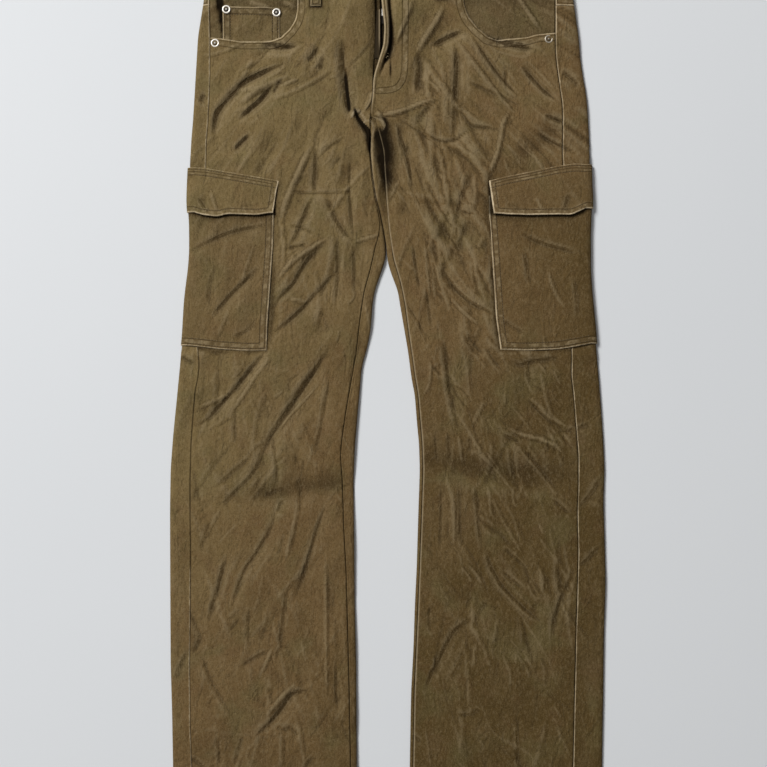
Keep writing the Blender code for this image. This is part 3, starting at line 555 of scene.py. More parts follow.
LEFT_CREASES = (
    fold(1.6, 4, -14, 310, -6.5, 298, -2, 288),
    ridge(1.8, 7, 66, 436, 59, 418, 45, 397, 32, 376),
    ridge(1.2, 6, 29, 442, 20, 414, 9, 390),
    trough(1.3, 5, 51, 386, 70, 396, 91, 405),
    trough(1.3, 5, 78, 390, 83, 372, 81, 331, 79, 310),
    trough(1.3, 8, 35, 380, 38, 363, 37, 346, 32, 328),
    ridge(1.0, 5, 45, 362, 46, 339, 48, 321),
    trough(1.1, 4, 98, 401, 114, 378, 126, 361, 140, 343, 156, 327),
    fold(0.8, 4, 82, 393, 98, 371, 112, 353, 128, 333, 140, 319, 152, 305),
    trough(0.8, 14, 150, 250, 180, 272, 208, 294),
    trough(2.4, 4.5, 121, 397.5, 138, 390.5, 155, 387, 175, 384),
    fold(1.5, 3.2, 150, 453, 160, 438, 170, 424, 184, 405),
    trough(0.9, 3.5, 209, 358, 220, 347, 230, 338),
    trough(1.3, 5, 159, 364, 166, 357, 181, 339, 202, 321),
    ridge(1.2, 5, -17, 304, 9, 306, 31, 315, 60, 325),
    trough(0.9, 3, 34, 292, 41, 306, 52, 317),
    trough(0.9, 2.6, 40, 290, 52, 276, 76, 270, 99, 288),
    trough(0.9, 5, 79, 323, 89, 307, 98, 291, 111, 289, 133, 287),
    ridge(1.2, 5, 145, 309, 137, 294, 135, 276, 130, 255),
    trough(1.0, 4, 187, 304, 211, 295),
    trough(0.9, 4, 178, 284, 199, 270, 223, 259),
    trough(1.0, 5, 12, 294, 17, 272, 25, 255),
    trough(0.8, 5, 78, 316, 80, 294, 77, 271),
    ridge(1.4, 6, 134, 267, 126, 245, 118, 227),
    trough(1.0, 5, 100, 236, 91, 215, 87, 200, 79, 172),
    ridge(0.8, 4, 102, 233, 103, 190),
    trough(0.8, 3, 87, 190, 95, 186, 104, 188),
    ridge(1.0, 6, 58, 272, 65, 237, 72, 197, 80, 162),
    trough(0.9, 5, 94, 177, 89, 154, 82, 137),
    trough(0.9, 5, 16, 278, 23, 256, 27, 237, 28, 213, 41, 191),
    trough(0.9, 5, 44, 226, 58, 200, 78, 167),
    ridge(0.8, 4, 2, 205, 13, 226),
    trough(1.2, 6, 63, 121, 80, 93, 102, 75, 129, 64),
    ridge(0.8, 4, 74, 86, 87, 69, 109, 52),
    trough(0.9, 5, 100, 127, 106, 97, 113, 78),
    trough(0.9, 5, 19, 82, 32, 62, 41, 47, 52, 21),
    trough(0.8, 4, 94, 43, 100, 30, 115, 16),
    trough(0.9, 4, 29, 153, 34, 120, 38, 90),
    ridge(0.8, 4, 42, 154, 47, 115, 50, 78),
    trough(0.9, 4, 52, 162, 56, 125, 58, 86),
    trough(0.8, 3.5, 63, 152, 66, 130, 66, 103),
    trough(0.8, 4, 45, 97, 50, 70, 52, 43),
    trough(1.0, 6, 144, 10, 158, 2, 168, 7, 190, 10, 208, 15),
    trough(2.0, 8, 65, 38, 70, 12, 72, -10, 75, -30, 79, -50, 84, -77),
    ridge(1.0, 5, 50, 14, 51, -10, 48, -22, 41, -33),
    trough(0.9, 4, 53, 3, 64, -10),
    trough(0.8, 4, 90, 42, 97, 28, 102, 20, 114, 13),
    trough(0.8, 4, 116, 27, 125, 10, 137, -4),
    ridge(0.9, 5, 117, -37, 106, -55, 100, -71),
    trough(1.4, 6, 165, -35, 180, -52, 195, -65, 221, -77),
    ridge(1.3, 6, 138, -68, 155, -78, 170, -82, 185, -85, 205, -95, 210, -108),
    trough(1.0, 5, 137, -79, 160, -91),
    trough(0.9, 4, 203, -71, 212, -78, 224, -72),
    trough(0.9, 4, 223, -74, 242, -66),
    trough(1.0, 5, 157, -92, 175, -112, 190, -130, 202, -148),
    trough(0.8, 4, 145, -92, 148, -118, 150, -133),
    trough(1.7, 13, 34, -124, 60, -121, 90, -124, 130, -132, 170, -136, 216, -140),
    trough(0.9, 4, 56, -77, 58, -98, 60, -114),
    trough(0.9, 4, 71, -74, 73, -95, 74, -116),
    ridge(0.9, 4, 84, -77, 86, -98, 89, -116),
    trough(0.8, 4, 98, -81, 97, -102),
    trough(0.9, 4, 64, -134, 64, -170, 63, -220),
    ridge(0.9, 4, 77, -134, 78, -175, 78, -219),
    trough(0.9, 4, 86, -137, 85, -170, 87, -216),
    trough(0.9, 4, 104, -137, 107, -175, 112, -221),
    ridge(0.8, 5, 119, -139, 124, -182),
    trough(0.9, 4, 197, -157, 208, -167, 218, -175),
    trough(0.9, 4, 227, -168, 245, -150, 257, -127),
    trough(0.9, 4, 227, -238, 240, -230, 254, -212),
    trough(1.5, 6, 116, -212, 122, -235, 130, -250, 137, -262, 150, -275, 165, -290, 178, -300, 188, -309),
    trough(0.9, 4, 136, -243, 150, -255, 164, -267),
    trough(0.8, 4, 138, -215, 162, -237),
    trough(0.8, 4, 162, -231, 170, -262, 182, -278),
    trough(0.8, 4, 173, -253, 186, -277),
    trough(0.8, 4, 190, -247, 195, -278),
    trough(1.7, 5, 224, -235, 215, -262, 208, -275, 203, -290, 198, -305, 196, -328),
    trough(0.9, 13, 55, -278, 100, -281, 145, -279),
    trough(0.9, 5, 120, -275, 110, -292, 104, -305, 101, -318),
    trough(1.9, 6, 103, -297, 85, -310, 75, -322, 62, -350, 52, -368, 42, -392),
    trough(0.9, 5, 50, -282, 50, -318),
    ridge(0.9, 5, 131, -297, 125, -333),
    ridge(0.9, 5, 105, -327, 100, -363),
    trough(0.9, 4, 83, -415, 100, -416, 112, -406),
    ridge(0.8, 5, 44, -427, 48, -460, 52, -484),
    trough(0.8, 3, 28, -440, 40, -448),
    trough(1.0, 6, 150, -455, 170, -505),
)
RIGHT_POCKET_CREASES = (
    trough(0.9, 6, -242, 139, -219, 149, -191, 162, -142, 173),
    trough(1.1, 5, -153, 124, -178, 97, -186, 90, -214, 58),
    ridge(0.6, 6, -160, 150, -172, 120, -176, 96),
    trough(0.6, 5, -205, 130, -214, 100, -216, 70),
    ridge(0.5, 6, -190, 75, -200, 50, -206, 34),
    trough(0.5, 5, -156, 60, -168, 44, -190, 36),
)
LEFT_POCKET_CREASES = (
    trough(0.9, 6, 158, 162, 181, 149, 205, 143, 229, 137),
    trough(0.8, 5, 163, 142, 168, 115, 170, 98),
    trough(0.7, 4, 137, 58, 146, 51, 163, 41),
    ridge(0.6, 6, 190, 120, 198, 92, 212, 70),
    trough(0.5, 5, 222, 110, 228, 80, 226, 56),
)
RIGHT_FLAP_CREASES = (
    trough(0.9, 5, -214, 184, -221, 195, -228, 206),
    ridge(0.7, 5, -205, 187, -210, 200, -213, 214),
    trough(0.5, 6, -180, 192, -160, 196),
)
LEFT_FLAP_CREASES = (
    trough(0.8, 5, 208, 186, 214, 197, 216, 210),
    ridge(0.6, 6, 184, 190, 176, 206),
    trough(0.5, 6, 140, 196, 160, 192),
)

RIGHT_EDGE = Line(230, -137.6, 174, -137.6, 145, -138.5, 99, -141.7, 53, -145, 20, -146, soft=6)
LEFT_EDGE = Line(230, 120.4, 185, 120.4, 136, 124, 90, 127, 62, 128.7, 22, 134.3, soft=6)
RIGHT_SIDE = Line(
    520, -208.5, 478, -213.5, 452, -215.2, 400, -214.3, 350, -214.3, 300, -216.4, 270, -218.8, 243, -219,
    186, -222, 130, -224.6, 60, -228.5, 27, -229.3, 8, -226.6, -14, -228.4, -21, -231, -54, -234.4, -88, -236.8,
    -138, -238.3, -221, -237.7, -305, -237.7, -355, -238.7, -422, -237.7, -478, -236, -520, -235,
)
RIGHT_INNER = Line(
    302, -21.3, 262, -22, 230, -18.8, 206, -15.1, 186, -9.5, 162, -4.9, 145, -2.7, 130, -3.6, 112, -10.2,
    93, -16.7, 75, -19.4, 47, -21.3, 23, -26, 3, -32, -54, -37, -94, -40.4, -138, -42, -188, -41.4,
    -288, -40.4, -355, -38.8, -478, -38, -520, -37.5,
)
LEFT_SIDE = Line(
    520, 193, 478, 198, 452, 200.2, 400, 200.2, 375, 200.6, 350, 204, 330, 206.7, 320, 208.6, 300, 209.2,
    255, 208.8, 186, 212.3, 130, 215, 104, 216.4, 44, 219.2, 20, 219.5, -14, 219.5, -21, 221.3, -64, 224.9,
    -104, 228.2, -141, 227.9, -171, 226.6, -221, 227.9, -272, 226.6, -322, 224.9, -372, 223.9, -478, 221.5,
    -520, 220.5,
)
LEFT_INNER = Line(
    302, -21.2, 262, -21.9, 230, -18.7, 206, -15, 186, -9.4, 162, -4.8, 145, -2.2, 128, -1.2, 112, 4, 93, 11.5,
    80, 13.3, 53, 18, 21, 23.5, -14, 28, -31, 31.6, -74, 35, -88, 36.6, -121, 37.7, -171, 36, -238, 34,
    -288, 31.6, -338, 30, -389, 27.2, -478, 25.6, -520, 25,
)
LEFT_INSEAM = Line(
    302, -16.5, 262, -6, 240, -5, 200, -2.4, 167, 0.4, 132, 6, 102, 15, 77, 20, 47, 23.9, 19, 28, -10, 32,
    -31, 35.6, -88, 40.6, -121, 41.7, -188, 39.6, -288, 35.6, -389, 31.2, -520, 29,
)
CROTCH_HOLE = Path(-38.5, 309.5, -35.5, 300.5, -29, 294, -23.8, 289.5, -20.8, 283, -21.2, 272, -22, 258)
CROTCH_CREST = Path(
    -29.5, 295.5, -26.5, 298.5, -22, 297.5, -18.4, 293.5, -17.8, 288, -19, 281, -20.2, 272, -20, 256, -19, 232,
    -17.4, 216, -14, 203,
)
CROTCH_LEAF = Path(-16, 301.5, -8, 299.5, -4, 294, -4.4, 288, -7.5, 284.5)
CROTCH_HOOK = Path(-43.5, 302, -42, 308, -38, 310, -34, 307, -30, 303.5, -28, 300)
RISE_VALLEY = Path(-54, 376, -51, 354, -48.6, 336, -46.2, 320, -45, 303)
SEAT = Line(480, -4, 408, -4.5, 388, -6, 374, -9, 356, -13, 332, -17.5, 302, -21.6)
CROTCH_SHADOW = Line(306, 0.8, 290, 2.0, 270, 2.2, 256, 0.9, 215, 0.7, 198, 1.1, 173, 1.7, 155, 1.5, 137, 1.0)
FLY_GAP = Line(460, -0.4, 440, 0.4, 425, 1.6, 412, 2.4, 396, 2.2, 385, 1.2, 376, -0.8, 366, -4, soft=6)
FLY_HOOK = Path(1.5, 384, -0.5, 374, -4, 368.5, -8.5, 368)
FLY_STITCH = Path(-12, 336.5, 5, 337.5, 12.5, 343.5, 16, 354, 16.5, 368, 17, 442, 17, 451)
FACING_TUCK = Line(452, -208.4, 442, -207.2, 397.8, -199.4, 376, -199.4, soft=4)  # beside the coin pocket

RIGHT = Leg(
    name="right",
    way=-1,
    outer=Line(
        520, -213, 478, -218.5, 452, -220.8, 440, -222, 400, -229, 350, -232, 300, -235, 270, -237.5, 248, -238.3,
        205, -240, 190, -239.6, 180, -238.3, 140, -238.1, 120, -239.6, 100, -242.3, 80, -244.6, 40, -246.8,
        20, -249, 0, -251, -31, -254, -81, -259, -121, -262, -171, -262.8, -355, -262, -422, -260, -520, -258.5,
    ),
    side=RIGHT_SIDE,
    inseam=Line(
        302, -22.6, 262, -23.5, 230, -20.6, 206, -17.1, 186, -12.2, 168, -10.4, 152, -14.5, 138, -17.6, 117, -22.2,
        95, -28.7, 78, -31.4, 53, -35, 19, -38.8, -8, -43.5, -47, -50.4, -81, -55.4, -104, -57.7, -134, -55.4,
        -188, -53.8, -238, -51, -322, -48.7, -389, -47, -478, -45.4, -520, -44.5,
    ),
    inner=RIGHT_INNER,
    roll=Line(302, 0.6, 280, 1.0, 256, 2.2, 186, 2.6, 150, 4, 130, 6, -520, 4.5),
    rise=Line(480, -17, 437, -16.5, 408, -16, 388, -16.5, 374, -17.5, 356, -19, 332, -19, 302, -22, 230, -20, 120, -8),
    rise_z=Line(480, 7.5, 374, 7.5, 356, 7.2, 332, 5.8, 302, 5, 230, 5.4),
    seat=SEAT,
    pocket_edge=RIGHT_EDGE,
    flap_edge=Line(225, -131, 213, -134, 186, -138, soft=5),
    opening=Line(480, -109.5, 430, -109.2, 417, -112, 405, -120, 397, -130, 300, -128, -520, -145, soft=5),
    lip=Line(-214, 397.5, -200, 396, -190, 394.5, -180, 392.6, -165, 392.5, -140, 393, -130, 397, soft=5),
    lip_y=397.0,
    loop=(-87.0, 434.0),
    dents=(
        (Path(-176, -156, -150, -151, -120, -147, -88, -140, -48, -134), 0.6, 12.7),
        (Path(-64, 398, -58, 365, -53, 330), 0.34, 7.5),
    ),
    relief=Relief(
        11, (*RIGHT_CREASES, *scattered(5, RIGHT_SIDE, RIGHT_INNER, 190, 0.42)),
        depth=Line(450, 1.42, 300, 1.38, 200, 1.12, 0, 1.0, -120, 0.9, -300, 0.8, -520, 0.76),
    ),
    under_relief=Relief(21, scattered(6, RIGHT_SIDE, RIGHT_INNER, 120, 1.3), 0.4, 0.3),
)
LEFT = Leg(
    name="left",
    way=1,
    outer=Line(
        520, 213, 478, 218.5, 452, 220.5, 440, 222.4, 400, 228.5, 370, 231, 350, 234, 330, 237.7, 310, 239.4,
        270, 241.6, 248, 241.6, 220, 242.2, 205, 243.4, 180, 242.4, 160, 241.8, 120, 241.9, 100, 243.1, 80, 244.9,
        60, 246.9, 40, 248.8, 20, 249.8, 0, 252, -47, 255.7, -88, 258.4, -121, 260, -161, 258.6, -205, 260,
        -255, 261.2, -322, 259.2, -389, 258.4, -520, 256,
    ),
    side=LEFT_SIDE,
    inseam=LEFT_INSEAM,
    inner=LEFT_INNER,
    roll=Line(302, 0.6, 280, 1.0, 256, 2.4, 230, 2.6, 186, 3, 162, 3.4, 132, 4.5, 112, 5, 80, 4.4, 47, 3, -520, 2.4),
    rise=Line(
        480, -9.5, 440, -8, 430, -7, 418, -5.4, 408, -4.5, 388, -5.6, 378, -8.5, 370, -11.2, 356, -15.8, 347, -18,
        332, -18.5, 308, -21.5, 302, -21.6, 230, -18, 120, 2, soft=6,
    ),
    rise_z=Line(480, 9.3, 374, 9.2, 356, 8.6, 332, 6.6, 302, 5.8, 230, 5.8, 120, 5.4),
    seat=SEAT,
    valley=Line(460, 1.0, 440, 1.6, 425, 2.8, 410, 3.8, 395, 3.6, 385, 2.4, 378, 0.0, 370, -4, 350, -10, soft=6),
    pocket_edge=LEFT_EDGE,
    flap_edge=Line(225, 120.4, 209.6, 122.6, 185, 126, soft=5),
    opening=Line(480, 89.5, 442, 90.4, 435, 91.3, 422, 96, 408, 107, 398, 120, 300, 122, -520, 140, soft=5),
    lip=Line(200, 402.5, 190, 402, 177, 401, 168, 398, 144, 396, 129, 394.6, 120, 398, soft=5),
    lip_y=398.0,
    loop=(64.5, 443.0),
    dents=(
        (Path(10, -106, 60, -107, 95, -113, 130, -119, 175, -122, 225, -128), 0.6, 12.7),
        (Path(146, 248, 166, 260, 186, 276, 210, 300), 0.5, 12.0),
        (Path(36, 388, 38, 362, 36, 336), 0.3, 5.0),
    ),
    relief=Relief(
        31, (*LEFT_CREASES, *scattered(8, LEFT_SIDE, LEFT_INNER, 190, 0.52)),
        depth=Line(450, 1.45, 300, 1.48, 200, 1.15, 60, 0.92, -20, 0.74, -120, 0.66, -300, 0.56, -520, 0.55),
    ),
    under_relief=Relief(41, scattered(9, LEFT_SIDE, LEFT_INNER, 120, 1.3), 0.4, 0.3),
)
LEGS = (RIGHT, LEFT)


# Finishes


def sums(operation: str, swapped: bool = False) -> Callable[..., "Wire"]:
    """A method that adds a Math node on a wire and another wire or number."""
    return lambda self, other=0.0: self.sum(operation, *((other, self) if swapped else (self, other)))


class Wire:
    """A socket in a finish's node tree, usable in sums."""

    __add__ = __radd__ = sums("ADD")
    __sub__, __rsub__ = sums("SUBTRACT"), sums("SUBTRACT", swapped=True)
    __mul__ = __rmul__ = sums("MULTIPLY")
    __abs__, sine, most = sums("ABSOLUTE"), sums("SINE"), sums("MAXIMUM")

    def __init__(self, paints: "Paints", socket: Any) -> None:
        """socket is one of the tree's outputs."""
        self.paints, self.socket = paints, socket

    def sum(self, operation: str, first: Any, second: Any = 0.0, clamp: bool = False) -> "Wire":
        """A Math node on two wires or numbers."""
        return self.paints.add("ShaderNodeMath", {"operation": operation, "use_clamp": clamp}, {0: first, 1: second})

    def clamped(self) -> "Wire":
        """Kept from 0 to 1."""
        return self.sum("ADD", self, clamp=True)

    def step(self, low: float, high: float) -> "Wire":
        """A soft step from 0 at low to 1 at high; high may be the lower number."""
        if low > high:
            return 1.0 - self.step(high, low)
        sockets = {"Value": self, "From Min": low, "From Max": high}
        return self.paints.add("ShaderNodeMapRange", {"interpolation_type": "SMOOTHSTEP"}, sockets)


Colour = tuple[float, float, float]


class Paints:
    """A new material with one way of adding nodes."""

    def __init__(self, name: str) -> None:
        """Makes the material with its shader and the object's places."""
        self.material = bpy.data.materials.new(name)
        self.material.use_nodes = True
        self.tree = self.material.node_tree
        self.shader = self.tree.nodes["Principled BSDF"]
        self.places = self.add("ShaderNodeTexCoord", {}, {}, "Object")

    def add(self, kind: str, settings: dict[str, Any], sockets: dict[Any, Any], out: Any = 0) -> Wire:
        """Adds one node and returns the wire of an output.

        Args:
            kind: the node's type.
            settings: its properties, set first.
            sockets: a wire or a value for each named or numbered input.
            out: the output.
        """
        node = self.tree.nodes.new(kind)
        for key, value in settings.items():
            setattr(node, key, value)
        for key, value in sockets.items():
            self.join(value, node.inputs[key])
        return Wire(self, node.outputs[out])

    def join(self, value: Any, socket: Any) -> None:
        """Links a wire to a socket, or sets the socket's own value."""
        if isinstance(value, Wire):
            self.tree.links.new(value.socket, socket)
        else:
            opaque = socket.type == "RGBA" and isinstance(value, tuple)
            socket.default_value = (*value, 1.0) if opaque else value

    def noise(self, scale: float, detail: float = 2.0, distortion: float = 0.0, place: Wire | None = None) -> Wire:
        """Soft noise from 0 to 1."""
        sockets = {"Vector": place or self.places, "Scale": scale, "Detail": detail, "Distortion": distortion}
        return self.add("ShaderNodeTexNoise", {}, sockets)

    def moved(self, turn: float, along: float) -> Wire:
        """The object's places, turned about Z and stretched along Y."""
        sockets = {"Vector": self.places, "Rotation": (0.0, 0.0, turn), "Scale": (1.0, along, 1.0)}
        return self.add("ShaderNodeMapping", {}, sockets)

    def plane(self, vector: Wire) -> list[Wire]:
        """The first two parts of a vector."""
        parts = self.add("ShaderNodeSeparateXYZ", {}, {0: vector}).socket.node.outputs
        return [Wire(self, part) for part in parts[:2]]

    def value_of(self, attribute: str) -> Wire:
        """A value stored on the mesh's points."""
        return self.add("ShaderNodeAttribute", {"attribute_name": attribute}, {}, "Fac")

    def coat(self, colour: Any, *coats: tuple[Any, Any]) -> Wire:
        """A colour under some coats, each a tint and the share of it."""
        for tint, share in coats:
            colour = self.add("ShaderNodeMix", {"data_type": "RGBA"}, {0: share, 6: colour, 7: tint}, 2)
        return colour

    def bumps(self, strength: float, distance: float, height: Wire) -> Wire:
        """The normal of a pressed or woven surface."""
        return self.add("ShaderNodeBump", {}, {"Strength": strength, "Distance": distance, "Height": height})

    def finish(self, **sockets: Any) -> bpy.types.Material:
        """Joins the named inputs of the shader, with _ for a space, and returns the material."""
        for key, value in sockets.items():
            self.join(value, self.shader.inputs[key.replace("_", " ")])
        return self.material


@dataclass(frozen=True)
class Twill:
    """Washed cotton twill: olive going to a darker brown towards the right and the hem, worn to cream on its finished
    edges and pale on crests, partly from wear and partly as a painted highlight, with painted highlights on lit slopes
    and painted shade in its hollows, creases and shaded slopes.
    """

    name: str
    olive: Colour = (0.172, 0.121, 0.050)
    russet: Colour = (0.143, 0.089, 0.036)
    umber: Colour = (0.084, 0.053, 0.017)
    redder: Colour = (0.138, 0.080, 0.036)
    greener: Colour = (0.124, 0.104, 0.042)
    # deep and pale give the random tone and also the painted shade and highlights; the colour after deep is only for
    # the darkest painted shade.
    deep: Colour = (0.036, 0.022, 0.008)
    shade_black: Colour = (0.008, 0.005, 0.002)
    pale: Colour = (0.250, 0.190, 0.105)
    cream: Colour = (0.560, 0.450, 0.290)
    worn: float = 0.6  # how far the finished edges have gone to cream
    wear_width: float = 0.9
    rows: tuple[float, ...] = ()  # distances of stitched rows from the finished edge
    row_gap: float = 7.0  # between the two rows of a seam
    groove: float = 0.75  # darkness along a seam
    hollows: float = 0.8  # darkness of the painted shade in a hollow
    rib: float = 0.00135  # width of one diagonal rib of the weave

    def make(self) -> bpy.types.Material:
        """The finish's material."""
        p = Paints(self.name)
        x, y = p.plane(p.places)
        slow, patch, fine = p.noise(5.0, 2.0), p.noise(34.0, 3.0, 0.5), p.noise(230.0, 3.0)
        streak, cloud = p.noise(30.0, 3.0, 0.8, p.moved(0.5, 0.35)), p.noise(75.0, 4.0, 0.3)
        speck, slub = p.noise(800.0, 2.0), p.noise(420.0, 2.0, 0.4, p.moved(0.5, 0.5))
        hollow, crest, edge, mark, rim, row, seam = (
            p.value_of(name) for name in ("hollow", "crest", "edge", "mark", "rim", "row", "seam")
        )
        tone = x * 2.0 - y * 1.05 + 0.5 + (slow - 0.5) * 0.8 + (patch - 0.5) * 0.4
        # Painted light and shade by slope: faces turned to the upper left are painted pale, faces turned away painted
        # dark.
        lean = p.value_of("lean") + (patch - 0.5) * 0.08
        strong, sunken = abs(mark), (mark * -900.0).clamped()
        # A painted shadow in a leaf along each sunken crease, with a painted highlight beside it; raised creases get a
        # painted highlight.
        aside = p.value_of("near") - 1.3 + (patch - 0.5) * 1.6
        leaf = (strong * 3.3 - abs(aside)).step(-0.15, 0.5) * (0.6 + p.noise(70.0, 2.0) * 0.6)
        stitched = abs(row + (fine - 0.5) * 0.4).step(1.0, 0.2).most(abs(row - self.row_gap).step(1.0, 0.2))
        for distance in self.rows:
            stitched = stitched.most(abs(rim - distance).step(0.95, 0.15))
        colour = p.coat(
            self.olive,
            (self.russet, (tone * 2.0).clamped()),
            (self.umber, (tone * 2.0 - 1.0).clamped()),
            (self.redder, patch.step(0.5, 0.72) * 0.26),
            (self.greener, p.noise(19.0, 2.0, 0.4).step(0.5, 0.72) * 0.42),
            (self.pale, streak.step(0.5, 0.8) * 0.14),
            (self.deep, streak.step(0.5, 0.2) * 0.16),
            (self.deep, cloud.step(0.5, 0.25) * 0.1),
            (self.pale, cloud.step(0.52, 0.78) * 0.08),
            # Painted light and shade: crests pale, partly from wear and partly as a painted highlight; slopes painted
            # pale or dark by how they face the upper left; painted shade in hollows; sharp crests painted pale and
            # cracks dark; painted shadows in leaves along the creases.
            (self.pale, (crest * (0.2 + fine * 0.3)).clamped()),
            (self.pale, (lean * 5.0 - 0.08).clamped() * 0.11 + (lean * 0.5 - 0.06).clamped()),
            (self.deep, (lean * -7.0 - 0.1).clamped() * 0.24 + (lean * -1.3 - 0.2).clamped()),
            (self.deep, (hollow * self.hollows).clamped()),
            (self.pale, (edge - 0.2).clamped() * 0.34),
            (self.deep, (edge * -1.0 - 0.2).clamped() * 0.6),
            (self.deep, (leaf * sunken * (strong * 1.3 - 0.5)).clamped()),
            (self.pale, abs(aside + strong * 3.3 + 0.9).step(1.2, 0.2) * sunken * strong * 0.26),
            (self.pale, (leaf * (1.0 - sunken) * (strong * 0.5)).clamped()),
            (self.deep, speck.step(0.5, 0.3) * 0.28 + slub.step(0.5, 0.28) * 0.24),
            (self.pale, speck.step(0.5, 0.7) * 0.2 + slub.step(0.5, 0.72) * 0.18),
            (self.deep, stitched * 0.58),
        )
        if self.rows:
            pucker = p.noise(170.0, 2.0).step(0.44, 0.66)
            quilted = abs(rim - 5.6).step(3.6, 2.2).most(abs(row - self.row_gap / 2).step(3.6, 2.4))
            between = stitched.step(0.3, 0.0) * quilted
            colour = p.coat(
                colour, (self.pale, between * (0.12 + pucker * 0.5)), (self.deep, between * (0.2 - pucker * 0.2))
            )
        wear_and_glint = (rim + (fine - 0.5) * 1.6).step(2.1 * self.wear_width, self.wear_width)
        wear_and_glint = wear_and_glint * (0.5 + p.noise(60.0, 2.0).step(0.35, 0.6) * 0.5)
        across, along = p.plane(p.add("ShaderNodeUVMap", {"uv_map": "cut"}, {}))
        cords = ((across + along * 1.6) * (math.tau / self.rib)).sine()
        colour = p.coat(
            colour,
            (self.deep, seam.step(1.7, 0.2) * self.groove),
            (self.cream, (wear_and_glint * self.worn).clamped()),
            # Pale lines that the pieces add, worn edges and painted highlights, then the darkest painted shade where
            # the painted shade passes 1.
            (self.cream, (p.value_of("cream") * (0.55 + fine * 0.7)).clamped()),
            (self.shade_black, (hollow - 1.0).clamped()),
            (self.deep, (cords * 0.5 + 0.5) * 0.07),
        )
        wrinkle = abs(p.noise(62.0, 3.0, 0.9, p.moved(-0.5, 0.45)) - 0.5) + abs(p.noise(120.0, 2.0, 0.6) - 0.5) * 0.4
        height = (0.5 - wrinkle).step(0.2, 0.5) * 0.8 + fine * 0.34 + slub * 0.3 + speck * 0.16 + cords * 0.04
        height = height - stitched * 0.32 - seam.step(1.6, 0.2) * 0.35 - leaf * sunken * strong * 0.5
        return p.finish(
            Base_Color=colour, Roughness=0.86 - crest * 0.08 + (fine - 0.5) * 0.1, Normal=p.bumps(0.9, MM, height),
            Sheen_Weight=0.02, Sheen_Roughness=0.45, Sheen_Tint=(0.75, 0.66, 0.5), Specular_IOR_Level=0.05,
        )


@dataclass(frozen=True)
class Thread:
    """Spun sewing thread: two plies turned round each other, a little lighter where it is worn, with painted shade in
    the groove between the plies.
    """

    name: str = "tonal_thread"
    tone: Colour = (0.104, 0.070, 0.033)
    wear_and_glint: Colour = (0.27, 0.21, 0.12)
    between: Colour = (0.05, 0.034, 0.016)  # painted shade in the groove between the plies

    def make(self) -> bpy.types.Material:
        """The finish's material."""
        p = Paints(self.name)
        turns, patch = p.noise(2600.0, 1.0), p.noise(60.0, 2.0)
        colour = p.coat(
            self.tone, (self.wear_and_glint, patch.step(0.45, 0.75) * 0.6), (self.between, turns.step(0.6, 0.35) * 0.4)
        )
        normal = p.bumps(0.6, 0.0002, turns)
        return p.finish(Base_Color=colour, Roughness=0.62 + patch * 0.2, Normal=normal, Sheen_Weight=0.1)


@dataclass(frozen=True)
class Tape:
    """Woven zip tape in a herringbone, painted dark for the shade that it lies in under the fly, with the fly's shadow
    painted darker still and a worn fold down it.
    """

    name: str = "zip_tape"
    dark: Colour = (0.024, 0.016, 0.007)
    light: Colour = (0.06, 0.042, 0.02)
    stain: Colour = (0.026, 0.017, 0.008)
    shade: Colour = (0.006, 0.004, 0.002)
    worn: Colour = (0.26, 0.2, 0.12)

    def make(self) -> bpy.types.Material:
        """The finish's material."""
        p = Paints(self.name)
        x, y = p.plane(p.places)
        zigzag = (abs((x * 1400.0).sine()) * 3.0 + y * 5200.0).sine() * 0.5 + 0.5
        colour = p.coat(
            self.dark,
            (self.light, zigzag * 0.7),
            (self.stain, p.noise(90.0).step(0.5, 0.8) * 0.5),
            # Painted shadow in a line left of the chain, and painted shade under the right front's edge.
            (self.shade, abs(x + 0.0086).step(0.0012, 0.0004).most((x + 0.0146).step(0.003, 0.0) * 0.35)),
            (self.worn, abs(x + 0.0107).step(0.0014, 0.0004) * (y - 0.378).step(0.0, 0.02)),
        )
        normal = p.bumps(0.7, 0.0003, zigzag)
        return p.finish(Base_Color=colour, Roughness=0.75 + zigzag * 0.1, Normal=normal, Specular_IOR_Level=0.1)


@dataclass(frozen=True)
class Metal:
    """Stamped metal: bright, dull and dark in its recesses and where stained, with fine scratches; a finish may keep
    only one band bright as a painted glint, and paint the rest dark as shade.
    """

    name: str
    bright: Colour
    dull: Colour
    rough: float = 0.3
    metallic: float = 1.0
    wear_and_glint: tuple[float, float] | None = None  # middle and half length, over y, of a painted glint; the rest is painted dark as shade

    def make(self) -> bpy.types.Material:
        """The finish's material."""
        p = Paints(self.name)
        scratch, stain = p.noise(900.0, 3.0, 0.4, p.moved(0.7, 0.12)), p.noise(260.0, 3.0)
        dull = (p.value_of("hollow") * 0.9 + stain.step(0.55, 0.8) * 0.3).clamped()
        # Painted shade over all but the painted glint band.
        if self.wear_and_glint:
            middle, half = self.wear_and_glint
            dull = dull.most(abs(p.plane(p.places)[1] - middle).step(half, half + 0.002))
        colour = p.coat(self.bright, (self.dull, scratch.step(0.5, 0.7) * 0.3), (self.dull, dull))
        rough = (self.rough + dull * 0.35 + (scratch - 0.5) * 0.2).clamped()
        normal = p.bumps(0.35, 0.0001, scratch)
        return p.finish(Base_Color=colour, Roughness=rough, Metallic=self.metallic, Normal=normal)


@dataclass(frozen=True)
class Plaster:
    """The plain pale surface that the garment lies on."""

    name: str = "pale_floor"
    low: Colour = (0.66, 0.68, 0.70)
    high: Colour = (0.70, 0.715, 0.73)

    def make(self) -> bpy.types.Material:
        """The finish's material."""
        p = Paints(self.name)
        cloud = p.noise(1.6, 3.0)
        colour = p.coat(self.low, (self.high, cloud))
        return p.finish(Base_Color=colour, Roughness=0.9 - cloud * 0.05, Specular_IOR_Level=0.2)


